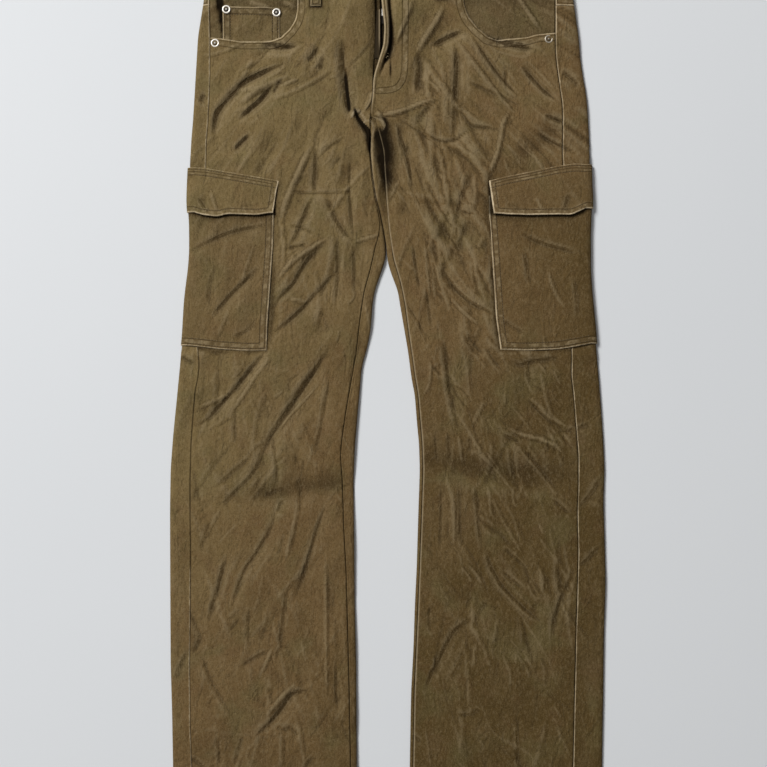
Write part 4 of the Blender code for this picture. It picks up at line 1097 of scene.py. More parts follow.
TWILL_FRONT = Twill("front_twill", worn=0.5, rows=(2.6, 9.2))
TWILL_BACK = Twill("back_twill", worn=0.62)
TWILL_POCKET = Twill("pocket_twill", worn=0.72, wear_width=0.95, rows=(2.7, 8.8), olive=(0.148, 0.100, 0.042))
TWILL_FLAP = Twill("flap_twill", umber=(0.100, 0.066, 0.024), worn=1.0, wear_width=1.1, rows=(6.8,))
TWILL_COIN = Twill("coin_twill", worn=0.4, wear_width=0.85, rows=(2.7, 8.8), olive=(0.142, 0.100, 0.042))
# A darker copy of the twill, painted as shade, for the cloth that lies low under the fronts.
TWILL_SHADED = Twill("shaded_facing_twill", worn=0.2, olive=(0.125, 0.090, 0.040), russet=(0.115, 0.078, 0.034))
SILVER = Metal("worn_silver", (0.84, 0.79, 0.70), (0.06, 0.05, 0.04), 0.42, 0.55)
DULL_SILVER = Metal("dull_silver", (0.42, 0.37, 0.29), (0.05, 0.04, 0.03), 0.4, 0.6)
# The pull lies in the fly's shade: painted near black but for a painted glint.
PULL_SILVER = Metal("pull_silver", (0.80, 0.75, 0.66), (0.012, 0.008, 0.005), 0.42, 0.5, (0.427, 0.003))
BRASS = Metal("aged_brass", (0.40, 0.31, 0.18), (0.10, 0.075, 0.045), 0.38)


# Making pieces


def neighbours(grid: Grid, axis: int) -> list[Grid]:
    """A grid one step back, in place and one step on along an axis, with its edges repeated."""
    padded = np.pad(grid, [(1, 1) if a == axis else (0, 0) for a in (0, 1)], "edge")
    return [np.take(padded, range(i, i + grid.shape[axis]), axis) for i in (0, 1, 2)]


def softened(grid: Grid, turns: int) -> Grid:
    """A grid of heights smoothed with its neighbours, some turns over."""
    for _ in range(turns):
        for axis in (0, 1):
            low, middle, high = neighbours(grid, axis)
            grid = (low + 2.0 * middle + high) / 4.0
    return grid


def leaned(x: Grid, y: Grid, height: Grid) -> Grid:
    """How steeply a height falls away from the upper left, negative, or faces it, positive: painted light and shade
    for a light at the upper left.
    """
    (x_up, x_on), (y_up, y_on), (up, on) = (np.gradient(v) for v in (x, y, height))
    area = x_on * y_up - x_up * y_on
    area = np.where(np.abs(area) < 0.05, np.inf, area)
    return np.clip((0.76 * (on * y_up - up * y_on) - 0.65 * (up * x_on - on * x_up)) / area, -0.7, 0.7)


def sharpened(x: Grid, y: Grid, height: Grid) -> Grid:
    """How sharply a height turns: up to 1 on a crest, painted as a highlight, down to -1 in a crack, painted as shade.
    """
    total = np.zeros(height.shape)
    for axis, run in ((0, y), (1, x)):
        (low, middle, high), (a, b, c) = neighbours(height, axis), neighbours(run, axis)
        back, on = np.abs(b - a), np.abs(c - b)
        total += 0.5 * (middle - (low * on + high * back) / np.maximum(back + on, 0.1)) * (back + on > 0.1)
    return np.clip(total / 0.08, -1.0, 1.0)


def mesh_of(name: str, bm: bmesh.types.BMesh) -> bpy.types.Mesh:
    """The mesh of a bmesh, which is freed."""
    mesh = bpy.data.meshes.new(name)
    bm.to_mesh(mesh)
    bm.free()
    return mesh


@dataclass
class Cut:
    """A cut of cloth as rows of points, the lower edge first, with what its finish reads."""

    x: Grid
    y: Grid
    z: Grid
    relief: Grid | float = 0.0  # what is pressed into it, for wear and painted highlights on crests and painted shade in hollows
    rim: Grid | float = FAR  # distance from a finished edge
    row: Grid | float = FAR  # distance from a further stitched row
    seam: Grid | float = FAR
    hollow: Grid | float = 0.0  # added painted shade
    cream: Grid | float = 0.0  # added paleness: worn lines and painted highlights
    near: Grid | float = FAR  # distance from the nearest crease's middle
    mark: Grid | float = 0.0  # how strong that crease is
    kept: Grid | None = None
    turned: bool = False  # its rows run the other way, so its faces are turned over
    wall: float = PLY

    def mesh(self, name: str) -> bpy.types.Mesh:
        """The cut's mesh, with its values and its map in metres, not yet thickened."""
        shape = np.broadcast(self.x, self.y, self.z).shape
        x, y, z, relief = (np.broadcast_to(v, shape) for v in (self.x, self.y, self.z, self.relief))
        kept = np.ones(shape, bool) if self.kept is None else self.kept
        bm = bmesh.new()
        bmesh.ops.create_grid(bm, x_segments=shape[1] - 1, y_segments=shape[0] - 1, size=1.0)
        bm.verts.ensure_lookup_table()
        cut_away = [vert for vert, keep in zip(bm.verts, kept.ravel()) if not keep]
        bmesh.ops.delete(bm, geom=cut_away, context="VERTS")
        if self.turned:
            bmesh.ops.reverse_faces(bm, faces=bm.faces)
        mesh = mesh_of(name, bm)
        mesh.vertices.foreach_set("co", (np.stack([x, y, z], axis=-1)[kept] * MM).ravel())
        values = {key: getattr(self, key) for key in ("rim", "row", "seam", "cream", "near", "mark")}
        # The finish reads painted light and shade from these: crest is pale on crests, partly wear and partly painted
        # highlight; hollow is painted shade in hollows, plus the shade the piece adds; the slope light paints faces
        # turned to the upper left pale and the others dark; edge paints sharp crests pale and cracks dark.
        values["crest"] = np.clip((relief - softened(relief, 4) - 0.03) / 0.3, 0, 1)
        values["hollow"] = np.clip((softened(relief, 14) - relief - 0.1) / 1.6, 0, 1) + self.hollow
        values["lean"], values["edge"] = leaned(x, y, relief), sharpened(x, y, relief)
        for key, value in values.items():
            data = np.broadcast_to(value, shape)[kept].astype(np.float32)
            mesh.attributes.new(key, "FLOAT", "POINT").data.foreach_set("value", data)
        run = np.cumsum(np.hypot(*(np.diff(v, axis=1, prepend=v[:, :1]) for v in (x, z))), axis=1)
        flat = np.stack([x[:, :1] + run, y], axis=-1)[kept] * MM
        corners = np.empty(len(mesh.loops), np.int32)
        mesh.loops.foreach_get("vertex_index", corners)
        mesh.uv_layers.new(name="cut").data.foreach_set("uv", flat[corners].astype(np.float32).ravel())
        mesh.shade_smooth()
        return mesh


TACK, FINE_TACK = (0.9, 1.2), (0.8, 1.0)  # pitch and length of the stitches that hold an end


@dataclass(frozen=True)
class Row:
    """One row of stitching along a path on a surface."""

    path: Path
    surface: Surface
    pitch: float = 3.3
    length: float = 2.4
    radius: float = 0.3

    def places(self) -> Grid:
        """Middles and directions of the stitches, as an array of six columns."""
        middle, points = self.path.walk(self.pitch), self.path.points
        near = np.clip([np.hypot(*(points - m).T).argmin() for m in middle], 1, len(points) - 1)
        way = points[near] - points[near - 1]
        way = way / np.hypot(*way.T)[:, None]
        behind, ahead = (self.surface(*(middle + s * way).T) for s in (-1.0, 1.0))
        return np.column_stack([middle, (behind + ahead) / 2.0 + self.radius * 0.35, way, (ahead - behind) / 2.0])


class Workroom:
    """Holds the finishes and turns cuts, rows of stitches and turned shapes into pieces of the garment."""

    def __init__(self) -> None:
        """Starts with no finishes made."""
        self.finishes: dict[str, bpy.types.Material] = {}
        self.triangles = 0

    def finish(self, kind: Any) -> bpy.types.Material:
        """The material of a finish, made once."""
        if kind.name not in self.finishes:
            self.finishes[kind.name] = kind.make()
        return self.finishes[kind.name]

    def place(self, name: str, mesh: bpy.types.Mesh, finish: Any, slot: str, *nodes: str) -> bpy.types.Object:
        """Makes a piece of a mesh.

        Args:
            name: of the piece.
            mesh: in metres, in the garment's frame.
            finish, slot: its finish, and the record's slot of that finish, which is not used.
            nodes: the frame's nodes that the piece stands for.

        Returns:
            The piece.
        """
        piece = bpy.data.objects.new(name, mesh)
        bpy.context.scene.collection.objects.link(piece)
        mesh.materials.append(self.finish(finish))
        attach(piece, "root")
        if nodes:
            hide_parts(*nodes)
        self.triangles += sum(len(face.vertices) - 2 for face in mesh.polygons)
        LOG.info("%s: %d faces, finish %s", name, len(mesh.polygons), finish.name)
        return piece

    def cloth(
        self, name: str, cut: Cut, finish: Any, node: str, size: Size, rests_on: Sequence[str],
        rows: Sequence[Row] = (), sewn: str = "", slot: str = "twill",
    ) -> None:
        """Makes a piece of one cut of cloth, with its stitches.

        Args:
            name: of the piece.
            cut: its points.
            finish, slot: its finish and the record's slot of it.
            node: the frame's node that it stands for.
            size: of the cut; not used.
            rests_on: what it lies on; not used.
            rows: its stitching.
            sewn: what the stitches are named for, if it isn't the piece.
        """
        trims = [self.stitches(sewn or name, rows)] if rows else []
        piece = self.place(name, cut.mesh(name), finish, slot, node)
        wall = piece.modifiers.new("wall", "SOLIDIFY")
        wall.thickness, wall.offset, wall.use_rim = cut.wall * MM, -1.0, True
        self.triangles += 2 * len(piece.data.polygons)
        list(rests_on)

    def stitches(self, name: str, rows: Sequence[Row]) -> bpy.types.Object:
        """One piece of all the stitches of a cut."""
        name = f"{name}_stitches"
        places = np.vstack([row.places() for row in rows])
        sizes = np.vstack([np.tile((row.length / 2, row.radius), (len(row.places()), 1)) for row in rows])
        bm = bmesh.new()
        bmesh.ops.create_icosphere(bm, subdivisions=1, radius=1.0)
        ball, sides, count = np.array([vert.co for vert in bm.verts]), len(bm.faces), 1
        while count < len(places):
            more = min(count, len(places) - count)
            bm.verts.ensure_lookup_table()
            bm.faces.ensure_lookup_table()
            bmesh.ops.duplicate(bm, geom=bm.verts[: more * len(ball)] + bm.faces[: more * sides])
            count += more
        mesh = mesh_of(name, bm)
        along = places[:, 3:6] / np.linalg.norm(places[:, 3:6], axis=1)[:, None]
        across = np.cross((0.0, 0.0, 1.0), along)
        across = across / np.linalg.norm(across, axis=1)[:, None]
        up = np.cross(along, across)
        axes = np.stack([along * sizes[:, :1], across * sizes[:, 1:], up * sizes[:, 1:] * 0.8], axis=1)
        points = places[:, None, :3] + np.einsum("va,nac->nvc", ball, axes)
        mesh.vertices.foreach_set("co", (points * MM).ravel())
        mesh.shade_smooth()
        return self.place(name, mesh, Thread(), "twill")

    def turned(
        self, name: str, profile: Sequence[tuple[float, float]], at: tuple[float, float, float], finish: Metal,
        node: str, steps: int = 40,
    ) -> None:
        """Makes a solid of metal turned about its own vertical axis, dark inside its rim.

        Args:
            name: of the piece.
            profile: (radius, height) pairs that start and end on the axis.
            at: the middle of its underside.
            finish: its finish.
            node: the frame's node that it stands for.
            steps: of the turn.
        """
        bm = bmesh.new()
        verts = [bm.verts.new((r * MM, 0.0, z * MM)) for r, z in profile]
        edges = [bm.edges.new(pair) for pair in zip(verts, verts[1:])]
        bmesh.ops.spin(
            bm, geom=verts + edges, axis=(0, 0, 1), cent=(0, 0, 0), angle=math.tau, steps=steps, use_merge=True
        )
        bmesh.ops.remove_doubles(bm, verts=bm.verts, dist=0.002 * MM)
        bm.verts.index_update()
        for parts in (bm.edges, bm.faces):  # the spin leaves these in another order at each run
            parts.sort(key=lambda part: sum(vert.index**1.5 for vert in part.verts))
        bmesh.ops.recalc_face_normals(bm, faces=bm.faces)
        inner, top = 0.62 * MM * max(r for r, _ in profile), MM * max(z for _, z in profile)
        dark = [
            1.25 - 0.75 * min(v.co.z / top, 1.0) ** 3 if math.hypot(v.co.x, v.co.y) < inner else 0.0 for v in bm.verts
        ]
        bmesh.ops.translate(bm, verts=bm.verts, vec=Vector(at) * MM)
        self.metal(name, bm, finish, "silver_metal", node, 38, dark)

    def metal(
        self, name: str, bm: bmesh.types.BMesh, finish: Metal, slot: str, node: str, sharp: float = 42,
        dark: Sequence[float] = (),
    ) -> None:
        """Turns a bmesh into a metal piece.

        Args:
            name: of the piece.
            bm: its shape.
            finish, slot: its finish and the record's slot of it.
            node: the frame's node that it stands for.
            sharp: degrees past which an edge is sharp.
            dark: how dark each point is.
        """
        mesh = mesh_of(name, bm)
        if dark:
            mesh.attributes.new("hollow", "FLOAT", "POINT").data.foreach_set("value", np.array(dark, np.float32))
        mesh.shade_smooth()
        mesh.set_sharp_from_angle(angle=math.radians(sharp))
        self.place(name, mesh, finish, slot, node)


def lip(distance: Grid, drop: float = 0.8, width: float = 1.5) -> Grid:
    """How far a turned-in edge rounds down near its rim."""
    return drop * np.clip(1.0 - distance / width, 0.0, 1.0) ** 2


ROUND_FOLD = np.array([90.0, 68.0, 45.0, 22.0, 0.0, -24.0, -50.0, -90.0])  # degrees round an edge
SIDE_SHARES = np.array([0.0, 0.03, 0.07, 0.12, 0.19, 0.28, 0.39, 0.52, 0.68, 0.84, 1.0])
LOOP_SHARES = np.array([0.0, 0.06, 0.16, 0.32, 0.5, 0.68, 0.84, 0.94, 1.0])[None, :]
BACK_LOOP_SHARES = np.array([0.0, 0.08, 0.2, 0.5, 0.8, 0.92, 1.0])[None, :]
LOOP_SIZE = (0.013, 0.060, 0.00078)


@dataclass
class FrontPanel:
    """A front: from the waist seam to the hem, its upper outer corner cut away along the hand-pocket opening."""

    leg: Leg
    size: Size

    def rim_path(self) -> Path:
        """The hand-pocket opening, from the side seam to the waist."""
        leg = self.leg
        corner = float(leg.opening(leg.lip_y))
        x = np.linspace(float(leg.side(leg.lip_y)), corner, 14)[:-1]
        y = np.linspace(leg.lip_y, FRONT_SEAM_Y + 6.0, 14)
        return Path.through(np.concatenate([x, leg.opening(y)]), np.concatenate([leg.lip(x), y]))

    def rows(self) -> Grid:
        """y of each row, hem first."""
        first, corner = HEM_Y + 2.0, self.leg.lip_y
        share = np.linspace(0.0, 1.0, 366)
        low = first + (corner - first) * share * (1.2 - 0.2 * share)
        high = np.arange(corner + 1.95, FRONT_SEAM_Y - 1.0, 1.95)
        return np.concatenate([[HEM_Y, HEM_Y + 0.8], low, high, [FRONT_SEAM_Y - GAP]])[:, None]

    def grid(self) -> tuple[Grid, Grid, Grid]:
        """x and y of the points, and which of them are kept."""
        leg, way, rows = self.leg, self.leg.way, self.rows()
        outer_shares = spread(86.0, 2.25, start=(0.5, 1.2, 2.2, 3.6))[None, :-1]
        inner_shares = spread(106.0, 2.45, end=(0.5, 1.1, 1.8, *np.arange(2.6, 34.0, 0.95)))[None, :]
        inner_x = np.where(rows > CROTCH_Y, leg.rise(rows), leg.inseam(rows)) + way * GAP / 2
        side, line = leg.side(rows) - way * GAP / 2, leg.opening(rows)
        x = np.hstack([mix(side, line, outer_shares), mix(line, inner_x, inner_shares)])
        y = np.broadcast_to(rows, x.shape).copy()
        outer = slice(0, outer_shares.size)
        sag = leg.lip(x[:, outer]) - leg.lip_y
        y[:, outer] += sag * smooth(y[:, outer], leg.lip_y - 46.0, leg.lip_y)
        kept = np.ones(x.shape, bool)
        kept[:, outer] = rows <= leg.lip_y + 0.01
        return x, y, kept

    def fly_shades(self, x: Grid, y: Grid) -> tuple[Grid, Grid]:
        """How dark and how pale the left front lies beside the fly and down its inseam: painted shade in the fly's
        gap, its hook and its folds, and worn pale lines on the fly's edges and the inseam, fainter where the inseam
        lies in shade.
        """
        leg = self.leg
        gap = x - FLY_GAP(y)
        gap = gap / np.where(gap > 0, 4.2 + 1.6 * bump(y, 388.0, 16.0) - 1.6 * smooth(y, 398, 432), 2.7)
        hook, reach = FLY_HOOK.nearest(x, y)
        into = x - leg.rise(y)
        crests = into / (leg.valley(y) - leg.rise(y))
        deep = (2.5 - 1.0 * smooth(y, 405, 436)) * np.exp(-(gap**2)) * smooth(y, 366, 374)
        deep += 2.8 * bump(hook, 0.0, 2.1) * smooth(1.0 - reach, 0.0, 0.3)
        deep += 2.2 * bump(x, 2.4, 1.1) * bump(y, 359.0, 9.5)
        deep += 0.75 * bump(crests, 0.29, 0.12) * smooth(y, 366, 380)
        cream = 0.6 * bump(into, 0.8, 0.6) * smooth(y, 303, 330) + 0.3 * bump(crests, 0.5, 0.08) * smooth(y, 372, 384)
        shaded = (1.0 - 0.5 * smooth(y, 206, 250)) * (1.0 - smooth(y, 280, 290))
        return deep, cream + 0.42 * shaded * bump(x - leg.inseam(y), 0.9, 0.7)

    def shades(self, x: Grid, y: Grid) -> tuple[Grid, Grid]:
        """How dark and how pale the cloth lies, beside its creases: painted shadows beside the cargo pocket, its flap
        and the belt loop, painted shade at the fly, the rise and the crotch and in broad dents.
        """
        leg, way = self.leg, self.leg.way
        deep, cream = leg.crotch(x, y)
        # Painted shadows beside the cargo pocket's edge and beside its flap.
        deep += 0.9 * fading(way * (leg.pocket_edge(y) - x), 2.0) * within(y, 16, 24, 222, 232)
        deep += 1.2 * fading(way * (leg.flap_edge(y) - x), 2.6) * within(y, 176, 184, 218, 228)
        if way > 0:
            dark, pale = self.fly_shades(x, y)
            deep, cream = deep + dark, cream + pale
        else:
            deep += 1.0 * fading(np.abs(x - leg.rise(y)), 7.0) * smooth(y, 335, 378) + closing_shade(x, y)
        # Painted shade in broad dents.
        for path, darkness, wide in leg.dents:
            away, along = path.nearest(x, y)
            band = bump(away, 0.0, wide * np.where(away > 0, 1.1, 0.9))
            deep += darkness * band * smooth(np.minimum(along * 0.7, 1.0 - along), -0.1, 0.2)
        # Painted shadow round the belt loop's lower end.
        loop_x, loop_y = leg.loop
        past_loop = np.maximum(np.abs(x - loop_x) - 6.2, loop_y - y)
        deep += 2.1 * fading(past_loop, 2.0) * (past_loop < 9.0)
        return deep, cream

    def build(self, room: Workroom) -> None:
        """Makes the panel and its stitches."""
        leg, way = self.leg, self.leg.way
        x, y, kept = self.grid()
        rim = np.abs(self.rim_path().nearest(x, y)[0])
        to_inner = np.abs(x - leg.inseam(y)) + FAR * smooth(y, 150, 176)
        to_rise = np.abs(x - leg.rise(y)) + FAR * smooth(-y, -CROTCH_Y, -CROTCH_Y + 8)
        to_rise = np.where(y < 350, to_rise, FAR) + (0 if way > 0 else FAR)
        seam = np.minimum(np.minimum(np.abs(x - leg.side(y)), to_inner), to_rise)
        z = leg.top(x, y) - lip(rim) - 0.45 * bump(seam, 0.0, 1.3) - lip(y - HEM_Y)
        row = np.where(y < 0, np.minimum(HEM_ROW_Y - y, 3.5), -FLY_STITCH.nearest(x, y)[0] if way > 0 else FAR)
        deep, cream = self.shades(x, y)
        height, near, mark = leg.relief.read(x, y)
        shown = 1.0 - leg.hidden(x, y)
        relief = height * shown + (leg.standing(x, y) * 0.36 if way > 0 else 0.0)
        cut = Cut(
            x, y, z, relief=relief, rim=rim, row=row, seam=seam, hollow=deep, cream=cream, near=near,
            mark=mark * shown, kept=kept, turned=way < 0,
        )
        name = f"{leg.name}_front"
        room.cloth(name, cut, TWILL_FRONT, f"front_{leg.name}", self.size, [f"{leg.name}_back"], self.stitching())

    def stitching(self) -> list[Row]:
        """The rows round the hand-pocket opening, at the hem and at the fly."""
        leg, rows = self.leg, []
        for shift in TWILL_FRONT.rows:
            x, y = self.rim_path().beside(-leg.way * shift).T
            inside = (y < FRONT_SEAM_Y) & (np.abs(x) < abs(float(leg.side(400))) - 2)
            rows.append(Row(Path.through(x[inside], y[inside]), leg.top))
        ends = float(leg.side(HEM_Y)) - leg.way, float(leg.inseam(HEM_Y)) + leg.way
        rows.append(Row(Path(ends[0], HEM_ROW_Y, ends[1], HEM_ROW_Y), leg.top))
        if leg.way > 0:
            rows += [Row(FLY_STITCH, leg.top), Row(Path.through(*FLY_STITCH.beside(7.0).T), leg.top)]
            rows += [Row(Path.down(leg.rise, 350, 306, shift), leg.top) for shift in (2.6, 7.6)]
            for at in (345.0, 340.0, 330.0):
                start = float(leg.rise(at)) + 1.2
                rows.append(Row(Path(start, at, start + 7.0, at + 0.1), leg.top, *TACK))
        return rows


def closing_shade(x: Grid, y: Grid) -> Grid:
    """How dark the right leg lies beside its inner edge, where the left one closes on it."""
    return 2.0 * fading(np.abs(x - RIGHT.inner(y)), CROTCH_SHADOW(y)) * within(y, 122, 150, 260, 268)


@dataclass
class BackPanel:
    """A back: round both edges of the leg onto the front, up to the side seam and the inseam."""

    leg: Leg
    size: Size = (0.275, 0.953, 0.235)
    yoke_size: Size = (0.232, 0.080, 0.0098)

    def __post_init__(self) -> None:
        """Works out the columns that the back and the yoke share."""
        self.under = spread(200.0, 5.6)[1:]
        over = np.zeros(len(SIDE_SHARES) - 1 + len(ROUND_FOLD))
        self.share = np.concatenate([over, self.under])[None, :]
        self.yoke_y = mix(YOKE_SIDE_Y, YOKE_CENTRE_Y, smooth(self.share, 0.0, 1.0))
        self.waist_y = mix(SIDE_SEAM_Y, BACK_SEAM_Y, smooth(self.share, 0.0, 1.0))

    def strip(self, y: Grid) -> tuple[Grid, Grid]:
        """x and z from the side seam to the outer fold and round it."""
        leg, way = self.leg, self.leg.way
        start = leg.side(y) + way * GAP / 2
        flat_x = mix(start, leg.outer(y) - way * leg.outer_roll(y), SIDE_SHARES[None, :-1])
        fold_x, fold_z = leg.around(leg.outer(y), leg.outer_roll(y), way, ROUND_FOLD[None, :], y)
        return np.hstack([flat_x, fold_x]), np.hstack([leg.top(flat_x, y), fold_z])

    def hip(self, t: Grid, bottom: Grid, upper: Grid) -> tuple[Grid, Grid, Grid]:
        """x, y and z of rows over the hip, for shares of the way from a lower edge to an upper one."""
        y = mix(bottom, upper, t)
        x1, z1 = self.strip(y[:, :1])
        y2 = y[:, x1.shape[1] :]
        x2 = mix(x1[:, -1:], self.leg.seat(y2) + self.leg.way * GAP / 2, self.under[None, :])
        return np.hstack([x1, x2]), y, np.hstack([z1, self.leg.underside(x2, y2, x1[:, -1:])])

    def below(self) -> tuple[Grid, Grid, Grid]:
        """x, y and z of rows round the leg, from the hem to the crotch."""
        leg, way = self.leg, self.leg.way
        y = np.concatenate([[HEM_Y, HEM_Y + 0.8], np.arange(HEM_Y + 2.2, 300.0, 2.5), [CROTCH_Y]])[:, None]
        x1, z1 = self.strip(y)
        roll = np.minimum(leg.roll(y), 0.85 * np.abs(leg.inner(y) - leg.inseam(y)))
        fold_x, fold_z = leg.around(leg.inner(y), roll, -way, ROUND_FOLD[None, ::-1], y)
        x2 = mix(x1[:, -1:], fold_x[:, :1], self.under[None, :])
        z2 = leg.underside(x2, y, x1[:, -1:], fold_x[:, :1])
        x3 = mix(fold_x[:, -1:], leg.inseam(y) - way * GAP / 2, 1.0 - SIDE_SHARES[None, -2::-1])
        x = np.hstack([x1, x2[:, :-1], fold_x, x3])
        return x, np.broadcast_to(y, x.shape), np.hstack([z1, z2[:, :-1], fold_z, leg.top(x3, y)])

    def build(self, room: Workroom) -> None:
        """Makes the panel and its yoke."""
        leg, way = self.leg, self.leg.way
        below = self.below()
        crotch_y = np.full(self.share.shape, CROTCH_Y)
        above = self.hip(np.linspace(0.02, 1.0, 46)[:, None], crotch_y, self.yoke_y - GAP / 2)
        missing = below[0].shape[1] - above[0].shape[1]
        x, y, z = (np.vstack([a, np.pad(b, ((0, 0), (0, missing)))]) for a, b in zip(below, above))
        kept = np.ones(x.shape, bool)
        kept[len(below[0]) :, -missing:] = False
        strip, column = len(SIDE_SHARES), np.arange(x.shape[1])[None, :]
        from_end = x.shape[1] - column
        by_side = np.where(column < strip + 3, np.abs(x - leg.side(y)), FAR)
        by_inseam = np.where(from_end < strip + 4, np.abs(x - leg.inseam(y)), FAR) + FAR * smooth(y, 140, 170)
        dull = 2.4 * within(-y, -24, 0, 225, 245) if way < 0 else 0.0
        rim = np.minimum(by_side, by_inseam)
        z = z + np.where(rim < 6, 0.35 * bump(rim, 1.4, 1.0) - 0.5 * bump(rim, 0.0, 0.6), 0.0)
        reach = strip + len(ROUND_FOLD) - 1
        on_top = (column < reach) | (from_end < reach + 1)
        relief, near, mark = (
            np.where(on_top, a, b) for a, b in zip(leg.relief.read(x, y), leg.under_relief.read(x, y))
        )
        deep, cream = (v * (from_end < strip + 6) for v in leg.crotch(x, y))
        if way < 0:
            deep += closing_shade(x, y) * (from_end < strip + 6)
        cut = Cut(
            x, y, z, relief=relief, rim=np.minimum(by_side + dull, by_inseam + 1.6),
            row=np.where(y < 0, np.minimum(HEM_ROW_Y - y, 3.5), FAR), hollow=deep, cream=cream,
            near=near, mark=mark, kept=kept, turned=way < 0,
        )
        room.cloth(f"{leg.name}_back", cut, TWILL_BACK, f"back_{leg.name}", self.size, ["floor"])
        self.yoke(room)

    def yoke(self, room: Workroom) -> None:
        """Makes the shaped strip between the back and the waistband."""
        leg, strip = self.leg, len(SIDE_SHARES)
        t = spread(43.0, 2.4, start=(0.6, 1.4), end=(0.6, 1.4))[:, None]
        x, y, z = self.hip(t, self.yoke_y + GAP / 2, self.waist_y - GAP / 2)
        rim = y - self.yoke_y
        rim[:, :strip] = np.minimum(np.abs(x - leg.side(y)), rim)[:, :strip]
        z[:, :strip] += 0.3 * bump(rim[:, :strip], 1.6, 1.2)
        cut = Cut(x, y, z, rim=rim, turned=leg.way < 0)
        room.cloth(f"{leg.name}_yoke", cut, TWILL_POCKET, f"yoke_{leg.name}", self.yoke_size, ["floor"])


